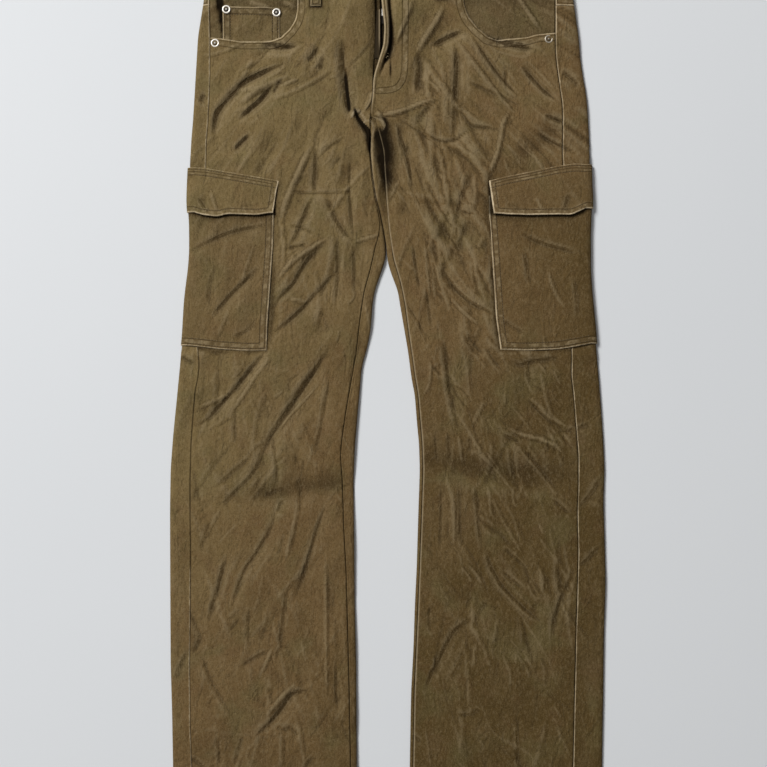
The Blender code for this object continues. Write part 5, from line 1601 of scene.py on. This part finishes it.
@dataclass
class Waistband:
    """One strip round the waist: its left end laps over its right one at the front."""

    wall: float = 1.8
    loop_wall: float = 1.3
    proud: float = 0.5
    edge_roll: float = 2.8
    under_top: float = 7.7  # height of the end that lies under
    start_x: float = -9.3
    end_x: float = 27.0
    loop_top: float = 492.0

    def front_y(self, x: Grid, up: Grid) -> Grid:
        """y on the front of the band, for shares of its height."""
        return mix(FRONT_SEAM_Y, SIDE_SEAM_Y, smooth(np.abs(x), 60, 210)) + GAP / 2 + up * BAND_HEIGHT

    def front(self, leg: Leg, x: Grid, up: Grid) -> tuple[Grid, Grid, Grid]:
        """x, y and z of the band on one side of the front."""
        y = self.front_y(x, up)
        return np.broadcast_to(x, y.shape), y, leg.level(x, y) + self.proud

    def edge(self, leg: Leg, degrees: Grid, y: Grid) -> tuple[Grid, Grid, Grid]:
        """x, y and z of the band round the side."""
        inside, turn = leg.outer(y) - leg.way * self.edge_roll, np.radians(degrees)[None, :]
        high, low = leg.level(inside, y) + self.proud, leg.bed(inside, y)
        x = inside + leg.way * self.edge_roll * np.cos(turn)
        return x, np.broadcast_to(y, x.shape), (low + high) / 2 + (high - low) / 2 * np.sin(turn)

    def back(self, leg: Leg, share: Grid, y: Grid) -> tuple[Grid, Grid, Grid]:
        """x, y and z of the band on one side of the back, for shares of the way to its middle."""
        x = mix(leg.outer(y) - leg.way * self.edge_roll, float(SEAT(BACK_SEAM_Y)), share)
        return x, mix(y, y + BACK_SEAM_Y - SIDE_SEAM_Y, smooth(share, 0.0, 1.0)), np.full(x.shape, LOOP_LIFT)

    def build(self, room: Workroom) -> None:
        """Makes the band, its loops and its button."""
        up = spread(BAND_HEIGHT, 2.6, start=(0.5, 1.3), end=(0.5, 1.3))[:, None]
        side_y = SIDE_SEAM_Y + GAP / 2 + up * BAND_HEIGHT
        under_end = self.front(RIGHT, np.arange(-204.0, self.end_x, 3.4)[None, :], up)
        parts = (
            self.front(LEFT, np.arange(self.start_x, 204.0, 3.4)[None, :], up),
            self.edge(LEFT, ROUND_FOLD, side_y),
            self.back(LEFT, np.linspace(0.0, 1.0, 52)[None, 1:-1], side_y),
            self.back(RIGHT, np.linspace(1.0, 0.0, 52)[None, :-1], side_y),
            self.edge(RIGHT, ROUND_FOLD[::-1], side_y),
            (*under_end[:2], mix(under_end[2], self.under_top, smooth(under_end[0], -66, -20))),
        )
        x, y, z = (np.hstack([part[i] for part in parts]) for i in range(3))
        relief = Relief(51, (), 0.25, 0.3)(x, y * 2.0)
        z = z + np.clip(relief, 0.0, 0.5) * (z > LOOP_LIFT + 2.0)
        rim = np.minimum(up, 1.0 - up) * BAND_HEIGHT + np.zeros(x.shape)
        z = z - lip(rim, 0.5) * (z > LOOP_LIFT + 2.0)
        rows = []
        for shift in (2.4, BAND_HEIGHT - 2.4):
            for leg, low, high in ((LEFT, self.start_x + 2, 200.0), (RIGHT, -200.0, -40.0)):
                xs = np.linspace(low, high, 60)
                rows.append(Row(Path.through(xs, self.front_y(xs, shift / BAND_HEIGHT)), self.face(leg, 0.1)))
        rows.append(Row(Path(-2, 466, 6, 466.6), self.face(LEFT, 0.0), *FINE_TACK, 0.28))
        room.cloth(
            "waist_band", Cut(x, y, z, relief=relief, rim=rim, wall=self.wall), TWILL_POCKET, "waistband",
            (0.90, 0.062, 0.0355), ["right_yoke", "left_yoke"], rows, "waistband",
        )
        for number, leg in enumerate(LEGS, start=1):
            self.front_loop(room, number, leg)
        for number, x in enumerate((-122.0, -4.0, 114.0), start=1):
            self.back_loop(room, number, x)
        self.button(room)

    def face(self, leg: Leg, above: float) -> Surface:
        """The height of the band's front, and a little above it."""
        return lambda x, y: leg.level(x, y) + self.proud + above

    def front_loop(self, room: Workroom, number: int, leg: Leg) -> None:
        """Makes a belt loop on the front, from below the seam to the band's upper edge."""
        middle, low = leg.loop
        t = spread(self.loop_top - low, 1.9, start=(0.5, 1.2), end=(0.5, 1.2))[:, None]
        x, y = np.broadcast_arrays(middle + (LOOP_SHARES - 0.5) * LOOP_WIDTH, mix(low, self.loop_top, t))

        def face(px: Grid, py: Grid) -> Grid:
            """The height of the cloth that the loop lies on."""
            return leg.level(px, py) + self.proud * smooth(py, 447, 452) + GAP

        sides, ends = np.minimum(LOOP_SHARES, 1.0 - LOOP_SHARES) * LOOP_WIDTH, np.minimum(y - low, self.loop_top - y)
        crown = 1.4 + 0.4 * np.sin(LOOP_SHARES * math.pi) + 0.5 * bump(y, 470.0, 9.0)
        z = face(x, y) + crown - lip(sides, 0.4) - lip(ends, 0.9, 2.0)
        over = lambda px, py: face(px, py) + 1.75
        rows = [Row(Path(middle + s, low + 2, middle + s, self.loop_top - 2), over) for s in (-3.6, 3.6)]
        rows += [
            Row(Path(middle - 5.5, at, middle + 5.5, at + 0.1), over, *TACK) for at in (low + 2.0, self.loop_top - 2.4)
        ]
        cut = Cut(x, y, z, rim=np.minimum(sides, ends), wall=self.loop_wall)
        room.cloth(f"front_loop_{number}", cut, TWILL_COIN, f"belt_loop_{number}", LOOP_SIZE, ["waist_band"], rows)

    def back_loop(self, room: Workroom, number: int, middle: float) -> None:
        """Makes a belt loop on the back, where the garment lies on it."""
        top = BACK_SEAM_Y + BAND_HEIGHT - 12.0 * abs(middle / 122.0)
        x, y = np.broadcast_arrays(
            middle + (BACK_LOOP_SHARES - 0.5) * LOOP_WIDTH, np.linspace(top - 58.0, top, 30)[:, None]
        )
        sides = np.minimum(BACK_LOOP_SHARES, 1 - BACK_LOOP_SHARES) * LOOP_WIDTH
        rim = np.minimum(sides, np.minimum(y - top + 58.0, top - y))
        cut = Cut(x, y, lip(rim, 0.35, 1.2), rim=rim, turned=True, wall=self.loop_wall)
        room.cloth(f"back_loop_{number}", cut, TWILL_POCKET, f"belt_loop_{number + 2}", LOOP_SIZE, ["floor"])

    def button(self, room: Workroom) -> None:
        """Makes the waist button: a stamped cap with a rim and a plain hollow face, on its shank."""
        x, y = 6.0, FRONT_SEAM_Y + BAND_HEIGHT / 2
        profile = (
            (0.0, 0.0), (3.2, 0.0), (3.2, 1.3), (5.0, 1.5), (8.0, 1.6), (8.5, 1.9), (8.6, 2.3), (8.3, 2.8),
            (7.7, 3.1), (7.0, 2.95), (6.5, 2.6), (5.9, 2.5), (3.0, 2.75), (0.0, 2.85),
        )
        z = float(LEFT.level(np.array(x), np.array(y))) + self.proud + GAP
        room.turned("waist_button_cap", profile, (x, y, z), SILVER, "waist_button", 56)


@dataclass
class HandPockets:
    """The cloth that closes each hand-pocket opening from behind, the coin pocket, and the rivets."""

    coin: tuple[float, float, float, float] = (-199.2, -130.5, 434.0, 380.0)  # left, right, top, bottom
    # The leg and place of each rivet, how deep it lies under the front's face, and its finish.
    rivets: tuple[tuple[Leg, float, float, float, Metal], ...] = (
        (RIGHT, -194.4, 430.6, 1.0, SILVER), (RIGHT, -134.4, 427.4, 1.0, SILVER), (RIGHT, -208.2, 390.6, 0.0, SILVER),
        (LEFT, 192.5, 395.4, 0.0, DULL_SILVER),
    )

    def coin_z(self, x: Grid, y: Grid) -> Grid:
        """Height of the coin pocket's face."""
        return RIGHT.top(x, y) - 1.2

    def facing(self, room: Workroom, leg: Leg, depth: float, size: Size) -> None:
        """Makes one facing, so deep under the front's face."""
        y = np.linspace(376.0, FRONT_SEAM_Y - GAP, 42)[:, None]
        side = leg.side(y) - leg.way * GAP
        x = mix(side, leg.opening(y) - leg.way * 13.0, spread(100.0, 2.4, start=(0.8, 1.8, 3.0))[None, :])
        y = np.broadcast_to(y, x.shape)
        # Painted shade beside the opening, under the pocket's lower edge and towards the waist.
        hollow = 0.6 * fading(np.abs(x - leg.opening(y)), 3.0) * smooth(y, 392, 400)
        hollow = hollow + 0.7 * fading(y - leg.lip(x), 2.2) + 0.35 * smooth(y, 431, 440)
        if leg.way < 0:
            tuck = x - FACING_TUCK(y)  # the cloth steps down beside the small pocket, with a painted shadow in the step
            depth = mix(0.7, depth + 0.6, smooth(tuck, -1.2, 0.8))
            hollow = hollow * (tuck > 0) + 2.0 * smooth(tuck, -1.2, 0.4) * (1.0 - smooth(x, -198.5, -197.0))
        height, near, mark = leg.relief.read(x, y)
        cut = Cut(
            x, y, leg.top(x, y) - depth, relief=0.5 * height, hollow=hollow,
            seam=np.where(y > 392, np.abs(x - side), FAR), near=near, mark=mark * 0.7, turned=leg.way < 0,
        )
        name = f"{leg.name}_pocket_facing"
        room.cloth(name, cut, TWILL_SHADED, f"pocket_facing_{leg.name}", size, [f"{leg.name}_back"])

    def coin_pocket(self, room: Workroom) -> None:
        """Makes the small pocket inside the right opening."""
        left, right, top, bottom = self.coin
        across = spread(right - left, 2.2, start=(0.5, 1.2, 2.2, 3.4), end=(0.5, 1.2, 2.2))[None, :]
        t = spread(top - bottom, 2.1, start=(1.0,), end=(0.5, 1.1, 2.0, 3.2))[:, None]
        slope = -1.4  # of its mouth, from left to right
        x, y = np.broadcast_arrays(mix(left, right, across), mix(bottom, top + (across - 0.5) * slope, t))
        below_top = y.max(axis=0) - y
        rim = np.minimum(np.minimum(x - left, right - x), below_top)
        stand = 0.5 * bump(x - left, 2.0, 3.0) + 0.7 * bump(below_top, 2.0, 3.5)
        cut = Cut(x, y, self.coin_z(x, y) + stand - lip(rim), relief=RIGHT.relief(x, y) + stand, rim=rim)
        face = lambda px, py: self.coin_z(px, py) + 0.5
        rows = [Row(Path(left + 3, top - s, right - 3, top - s + slope), face) for s in (2.4, 8.8)]
        for s in (2.6, 9.0):
            rows.append(Row(Path(left + s, top - 6, left + s, 398), face))
            rows.append(Row(Path(right - s, top - 4, right - s, 402), face))
        room.cloth(
            "small_coin_pocket", cut, TWILL_COIN, "coin_pocket", (0.070, 0.055, 0.0038), ["right_pocket_facing"],
            rows, "coin_pocket",
        )

    def build(self, room: Workroom) -> None:
        """Makes both facings, the coin pocket and the rivets."""
        self.facing(room, RIGHT, 2 * STEP_OUT, (0.112, 0.076, 0.0078))
        self.facing(room, LEFT, STEP_OUT, (0.112, 0.076, 0.0084))
        self.coin_pocket(room)
        profile = (
            (0.0, 0.0), (4.9, 0.0), (5.15, 0.3), (5.1, 0.7), (4.75, 1.1), (4.2, 1.3), (3.6, 1.2), (3.0, 0.85),
            (2.5, 0.6), (2.0, 0.55), (1.6, 0.8), (1.35, 1.35), (0.9, 1.65), (0.0, 1.75),
        )
        for number, (leg, x, y, deep, metal) in enumerate(self.rivets, start=1):
            z = float(leg.top(np.array(x), np.array(y))) - deep + 0.15
            room.turned(f"washer_rivet_{number}", profile, (x, y, z), metal, f"rivet_{number}")


@dataclass
class CargoPocket:
    """A patch pocket and its flap on the side of a leg, from the front, round the outer fold, onto the back."""

    leg: Leg
    pocket_top: Line
    pocket_bottom: Line
    flap_top: Line
    flap_bottom: Line
    relief: Relief
    flap_relief: Relief
    size: Size
    flap_size: Size

    def calm(self, x: Grid, y: Grid) -> Grid:
        """0 at the leg's edge, where the cloth is drawn smooth, 1 away from it."""
        return smooth(np.abs(x - self.leg.outer(y)), 2, 14)

    def pocket_z(self, x: Grid, y: Grid) -> Grid:
        """Height of the pocket's face."""
        pressed = mix(np.clip(self.relief(x, y), -1.1, 2.2), -0.3, smooth(y - self.flap_bottom(x), -12.0, 0.0))
        return self.leg.level(x, y) + STEP_OUT + pressed * self.calm(x, y)

    def flap_z(self, x: Grid, y: Grid) -> Grid:
        """Height of the flap's face: it lies on the pocket and lifts a little towards its lower edge."""
        lower = smooth(self.flap_bottom(x) + 16.0 - y, 0.0, 16.0)
        curl = lower**2 * (2.5 + 1.0 * self.flap_relief.grain(x, y * 0.0, 30.0))
        rest = self.leg.level(x, y) + STEP_OUT * (1.0 + smooth(self.flap_top(x) - y, 0.0, 14.0))
        return rest + (np.clip(0.4 + self.flap_relief(x, y), 0.0, 2.2) + curl) * self.calm(x, y)

    def grid(self, edge: Line, low: Line, high: Line, face: Surface, out: float, wrap: float, t: Grid) -> Cut:
        """Points of a pocket or a flap, with the distance from its upper edge as its further row.

        Args:
            edge: x of its front edge over y.
            low, high: y of its lower and upper edges over x.
            face: its height on the front.
            out: how far it stands off the fold and the back.
            wrap: how far it reaches onto the back.
            t: rows, as shares of its height.
        """
        leg, way = self.leg, self.leg.way
        shares = spread(106.0, 2.0, start=(0.5, 1.1, 1.9, 2.9))[None, :]
        middle = float(high(leg.outer(120)) + low(leg.outer(120))) / 2
        guess = mix(edge(middle), leg.outer(middle) - way * 6, shares)
        y = mix(low(guess), high(guess), t)
        x = mix(edge(y), leg.outer(y) - way * leg.outer_roll(y), shares)
        z, last = face(x, y), y[:, -1:]
        fold_x, _ = leg.around(leg.outer(last), leg.outer_roll(last), way, ROUND_FOLD[None, 1:], last, out)
        high_z, low_z = z[:, -1:], leg.bed(x[:, -1:], last) - out
        fold_z = (high_z + low_z) / 2 + (high_z - low_z) / 2 * np.sin(np.radians(ROUND_FOLD[None, 1:]))
        back_x = mix(fold_x[:, -1:], leg.outer(last) - way * wrap, spread(56.0, 3.6)[None, 1:])
        x, z = np.hstack([x, fold_x, back_x]), np.hstack([z, fold_z, leg.bed(back_x, last) - out])
        y = np.hstack([y, np.broadcast_to(last, (len(t), x.shape[1] - y.shape[1]))])
        front = np.arange(x.shape[1])[None, :] < shares.shape[1] + 4
        sides = np.where(front, np.abs(x - edge(y)), np.abs(x - back_x[:, -1:]))
        height = y[-1:] - y[:1]
        return Cut(x, y, z, rim=np.minimum(sides, t * height), row=(1 - t) * height, turned=way < 0)

    def build(self, room: Workroom) -> None:
        """Makes the pocket and its flap."""
        self.pocket(room)
        self.flap(room)

    def pocket(self, room: Workroom) -> None:
        """Makes the pocket and its stitches."""
        leg, way, face = self.leg, self.leg.way, self.pocket_z
        t = spread(196.0, 2.1, start=(0.5, 1.1, 1.9, 2.9), end=(1.0,))[:, None]
        cut = self.grid(leg.pocket_edge, self.pocket_bottom, self.pocket_top, face, STEP_OUT, POCKET_WRAP, t)
        cut.row = FAR
        cut.z = cut.z - lip(cut.rim) * (cut.z > 3.5)
        from_flap = self.flap_bottom(cut.x) - cut.y
        # Painted shadow of the flap on the pocket below it.
        cut.hollow = 1.4 * fading(from_flap, 3.3) + 0.36 * fading(from_flap, 10.0)
        cut.relief, cut.near, cut.mark = self.relief.read(cut.x, cut.y)
        corner, side, rows = float(leg.pocket_edge(24)), float(leg.outer(28)) - way * 7, []
        for s in (2.4, 8.8):
            rows.append(Row(Path.down(leg.pocket_edge, 30 - s / 3, 183, way * s), face))
            rows.append(Row(Path.across(self.pocket_bottom, corner + way * s, side, s), face))
        rows.append(Row(Path(corner + way * 1.5, 24.6, corner + way * 9.0, 24.8), face, *FINE_TACK))
        name, on = leg.name, [f"{leg.name}_front", f"{leg.name}_back"]
        room.cloth(
            f"{name}_cargo_pocket", cut, TWILL_POCKET, f"cargo_pocket_{name}", self.size, on, rows, f"{name}_pocket"
        )

    def flap(self, room: Workroom) -> None:
        """Makes the flap and its stitches."""
        leg, way, face, name = self.leg, self.leg.way, self.flap_z, self.leg.name
        t = spread(54.0, 1.9, start=(0.4, 0.9, 1.6, 2.5), end=(0.4, 1.0))[:, None]
        cut = self.grid(leg.flap_edge, self.flap_bottom, self.flap_top, face, 2 * STEP_OUT, POCKET_WRAP + 2, t)
        from_top = cut.row
        cut.row = np.minimum(from_top - 2.2, 40.0)
        cut.rim = np.minimum(cut.rim, from_top + 1.5)
        cut.z = cut.z - lip(np.minimum(cut.rim, from_top)) * (cut.z > 3.5)
        cut.relief, cut.near, cut.mark = self.flap_relief.read(cut.x, cut.y)
        start, end = float(leg.flap_edge(222)) + way * 2, float(leg.outer(240)) - way * 7
        rows = [Row(Path.across(self.flap_top, start, end, -s), face) for s in (2.2, 9.2)]
        start, end = float(leg.flap_edge(190)) + way * 7, float(leg.outer(195)) - way * 7
        rows.append(Row(Path.across(self.flap_bottom, start, end, 6.5), face))
        rows.append(Row(Path.down(leg.flap_edge, 192, 222, way * 6.5), face))
        room.cloth(
            f"{name}_cargo_flap", cut, TWILL_FLAP, f"cargo_flap_{name}", self.flap_size, [f"{name}_cargo_pocket"],
            rows, f"{name}_flap",
        )


@dataclass
class Fly:
    """The facing under the left front's edge, the shield behind the zip, and the zip between them."""

    chain_x: float = -2.5
    chain: tuple[float, float] = (372.0, 421.0)
    chain_half: float = 2.8
    tooth_pitch: float = 1.7
    tape_y: tuple[float, float] = (372.0, 430.0)
    tape_size: Size = (0.014, 0.058, 0.0008)
    tape_wall: float = 0.6
    layers_y: tuple[float, float] = (352.0, FRONT_SEAM_Y - GAP)

    def under(self, depth: float, most: float) -> Surface:
        """The height of a layer below the left front's face, never above the given height."""
        return lambda x, y: np.minimum(LEFT.level(x, y) + LEFT.standing(x, y) - depth, most)

    def shield_z(self, x: Grid, y: Grid) -> Grid:
        """Height of the shield: it lies low, with one upright fold that shows beside the fly's edge."""
        return np.maximum(self.under(4.6, 4.2)(x, y), 2.2) + 5.6 * bump(x, -10.9, 1.5) * smooth(y, 370, 382)

    def strip(
        self, room: Workroom, name: str, node: str, ys: tuple[float, float], ends: tuple[Surface, Surface], z: Surface,
        size: Size, finish: Any = TWILL_SHADED, slot: str = "twill", wall: float = PLY, hollow: float = 0.3,
    ) -> None:
        """Makes one strip between two edges that may slant.

        Args:
            room: makes the piece.
            name, node: of the piece and of the node that it stands for.
            ys: lowest and highest y.
            ends: functions of y that give its left and right x.
            z: its height.
            size: of the cut.
            finish, slot: its finish and the record's slot.
            wall: its thickness.
            hollow: how dark its painted shade is.
        """
        y = np.arange(ys[0], ys[1] + 0.1, 1.6)[:, None]
        left, right = (np.asarray(end(y), float) + 0.0 * y for end in ends)
        x = mix(left, right, spread(float(np.max(right - left)), 0.9)[None, :])
        y = np.broadcast_to(y, x.shape)
        cut = Cut(x, y, z(x, y), rim=np.minimum(x - left, right - x), hollow=hollow, wall=wall)
        room.cloth(name, cut, finish, node, size, ["right_back", "left_back"], slot=slot)

    def build(self, room: Workroom) -> None:
        """Makes the strips and the zip."""
        self.strip(
            room, "fly_facing_strip", "fly_facing", self.layers_y,
            (lambda y: LEFT.rise(y) + 2.5, lambda y: 6.0 + 8.0 * smooth(y, 350, 380)),
            self.under(1.3, 12.0), (0.022, 0.100, 0.0019),
        )
        # The shield lies in the fronts' shade, painted dark.
        self.strip(
            room, "fly_shield_strip", "fly_shield", self.layers_y, (lambda y: -34.0, lambda y: 14.0), self.shield_z,
            (0.060, 0.100, 0.0056), hollow=1.15,
        )
        left, right = self.chain_x - self.chain_half, self.chain_x + self.chain_half
        for side, ends, z in (
            ("right", (lambda y: -19.0, lambda y: left), lambda x, y: self.shield_z(x, y) + 1.0),
            ("left", (lambda y: right, lambda y: 14.0), self.under(2.5, 6.4)),
        ):
            self.strip(
                room, f"{side}_zip_tape", f"zip_tape_{side}", self.tape_y, ends, z, self.tape_size, Tape(), "zip_tape",
                self.tape_wall,
            )
        self.zip(room)

    def block(
        self, bm: bmesh.types.BMesh, size: tuple[float, float, float], middle: tuple[float, float, float],
        narrow: float = 1.0,
    ) -> None:
        """Adds a block to a bmesh, its end towards the hem made narrower by the share."""
        made = bmesh.ops.create_cube(bm, size=1.0)["verts"]
        bmesh.ops.scale(bm, verts=made, vec=Vector(size) * MM)
        bmesh.ops.scale(bm, verts=[v for v in made if v.co.y < 0], vec=(narrow, 1.0, 1.0))
        bmesh.ops.translate(bm, verts=made, vec=Vector(middle) * MM)

    def bevelled(self, bm: bmesh.types.BMesh, offset: float, segments: int) -> bmesh.types.BMesh:
        """A bmesh with all its edges rounded."""
        bmesh.ops.bevel(
            bm, geom=bm.edges[:], offset=offset * MM, segments=segments, profile=0.5, affect="EDGES", material=-1
        )
        bmesh.ops.recalc_face_normals(bm, faces=bm.faces)
        return bm

    def zip(self, room: Workroom) -> None:
        """Makes the teeth, the slider and its pull."""
        low, high = self.chain
        bm = bmesh.new()
        for i in range(int((high - low) / self.tooth_pitch)):
            side = 0.95 if i % 2 else -0.95
            self.block(bm, (3.0, 1.15, 1.4), (self.chain_x + side, low + 1 + i * self.tooth_pitch, 5.55))
        room.metal("zip_teeth", self.bevelled(bm, 0.22, 1), BRASS, "zip_metal", "zip_chain")
        bm = bmesh.new()
        self.block(bm, (5.6, 11.4, 1.9), (self.chain_x, high + 6.4, 5.65), 0.72)
        room.metal("zip_slider_body", self.bevelled(bm, 0.55, 3), SILVER, "silver_metal", "zip_slider")
        bm = bmesh.new()
        self.block(bm, (4.4, 22.0, 0.9), (self.chain_x - 3.5, high + 3.4, 7.6))
        faces = [f for f in bm.faces if abs(f.normal.z) > 0.9]
        bmesh.ops.inset_individual(bm, faces=faces, thickness=1.1 * MM, depth=-0.18 * MM)
        room.metal("zip_pull_tab", self.bevelled(bm, 0.16, 2), PULL_SILVER, "silver_metal", "zip_pull")


@dataclass
class Studio:
    """The pale floor, soft light from the upper left, and the camera straight above."""

    middle: tuple[float, float] = (-0.006, -0.018)
    shown: float = 0.9204  # width of the picture on the garment, in metres
    distance: float = 1.5
    sensor: float = 36.0
    lamps: tuple[tuple[str, tuple[float, float, float], float, float], ...] = (  # name, place, size, power
        ("key", (-3.4, 2.9, 4.3), 2.2, 440.0),
        ("overhead", (0.0, 0.2, 2.8), 2.6, 9.0),
    )

    def add(self, name: str, data: Any, place: Sequence[float] = (0.0, 0.0, 0.0)) -> bpy.types.Object:
        """An object of some data in the scene."""
        thing = bpy.data.objects.new(name, data)
        thing.location = place
        bpy.context.scene.collection.objects.link(thing)
        return thing

    def build(self, room: Workroom) -> None:
        """Makes the floor, the lights and the camera."""
        scene, bm = bpy.context.scene, bmesh.new()
        bmesh.ops.create_grid(bm, x_segments=1, y_segments=1, size=9.0)
        bmesh.ops.translate(bm, verts=bm.verts, vec=(0.0, 0.0, -0.2 * MM))
        mesh = mesh_of("floor", bm)
        mesh.materials.append(room.finish(Plaster()))
        self.add("floor", mesh)
        for name, place, size, power in self.lamps:
            lamp = bpy.data.lights.new(name, "AREA")
            lamp.size, lamp.energy = size, power
            self.add(name, lamp, place).rotation_euler = (-Vector(place)).to_track_quat("-Z", "Y").to_euler()
        scene.world = bpy.data.worlds.new("studio")
        scene.world.use_nodes = True
        sky = scene.world.node_tree.nodes["Background"].inputs
        sky["Color"].default_value, sky["Strength"].default_value = (1.0, 0.975, 0.94, 1.0), 0.12
        lens = bpy.data.cameras.new("camera")
        lens.sensor_width, lens.lens = self.sensor, self.sensor * self.distance / self.shown
        scene.camera = self.add("camera", lens, (*self.middle, self.distance + 0.006))
        scene.view_settings.view_transform = "Standard"


def main() -> None:
    """Builds the pants, sub-assembly by sub-assembly, and the studio round them."""
    logging.basicConfig(level=logging.INFO, format="%(message)s")
    room = Workroom()
    pieces = (
        Studio(),
        FrontPanel(RIGHT, (0.225, 0.970, 0.187)),
        FrontPanel(LEFT, (0.232, 0.970, 0.187)),
        BackPanel(RIGHT),
        BackPanel(LEFT),
        Waistband(),
        HandPockets(),
        CargoPocket(
            RIGHT,
            pocket_top=Line(-250, 224, -219, 222, -195, 218, -163, 212, -137.6, 206),
            pocket_bottom=Line(-250, 29, -219, 26, -195, 23, -163, 21, -146, 21.3),
            flap_top=Line(-240, 241.5, -221, 240, -182, 233.6, -131, 224.7, soft=6),
            flap_bottom=Line(
                -245, 189, -239, 188.4, -222.5, 183.4, -205, 181.3, -191, 184.7, -154, 183.4, -138, 186, soft=6
            ),
            relief=Relief(61, RIGHT_POCKET_CREASES, 0.7, 0.8),
            flap_relief=Relief(62, RIGHT_FLAP_CREASES, 0.5, 0.7),
            size=(0.176, 0.200, 0.0335),
            flap_size=(0.182, 0.062, 0.0095),
        ),
        CargoPocket(
            LEFT,
            pocket_top=Line(121, 206, 157, 214, 196, 223, 220, 226, 251, 226.5),
            pocket_bottom=Line(134.3, 22.2, 157, 21.3, 196, 22.8, 220, 26.8, 242, 31),
            flap_top=Line(120.4, 224.7, 140.7, 230, 168.4, 235.4, 201.6, 242.4, 223.8, 245.6, 241.3, 244.7, soft=6),
            flap_bottom=Line(
                126, 185.2, 140.7, 184, 168.4, 183.4, 205.3, 184, 218.2, 183.4, 231.2, 189.3, 246, 195.7, soft=6
            ),
            relief=Relief(71, LEFT_POCKET_CREASES, 0.7, 0.8),
            flap_relief=Relief(72, LEFT_FLAP_CREASES, 0.5, 0.7),
            size=(0.190, 0.206, 0.0365),
            flap_size=(0.198, 0.064, 0.0110),
        ),
        Fly(),
    )
    for piece in pieces:
        piece.build(room)
    LOG.info("about %d triangles", room.triangles)


if __name__ == "__main__":
    main()
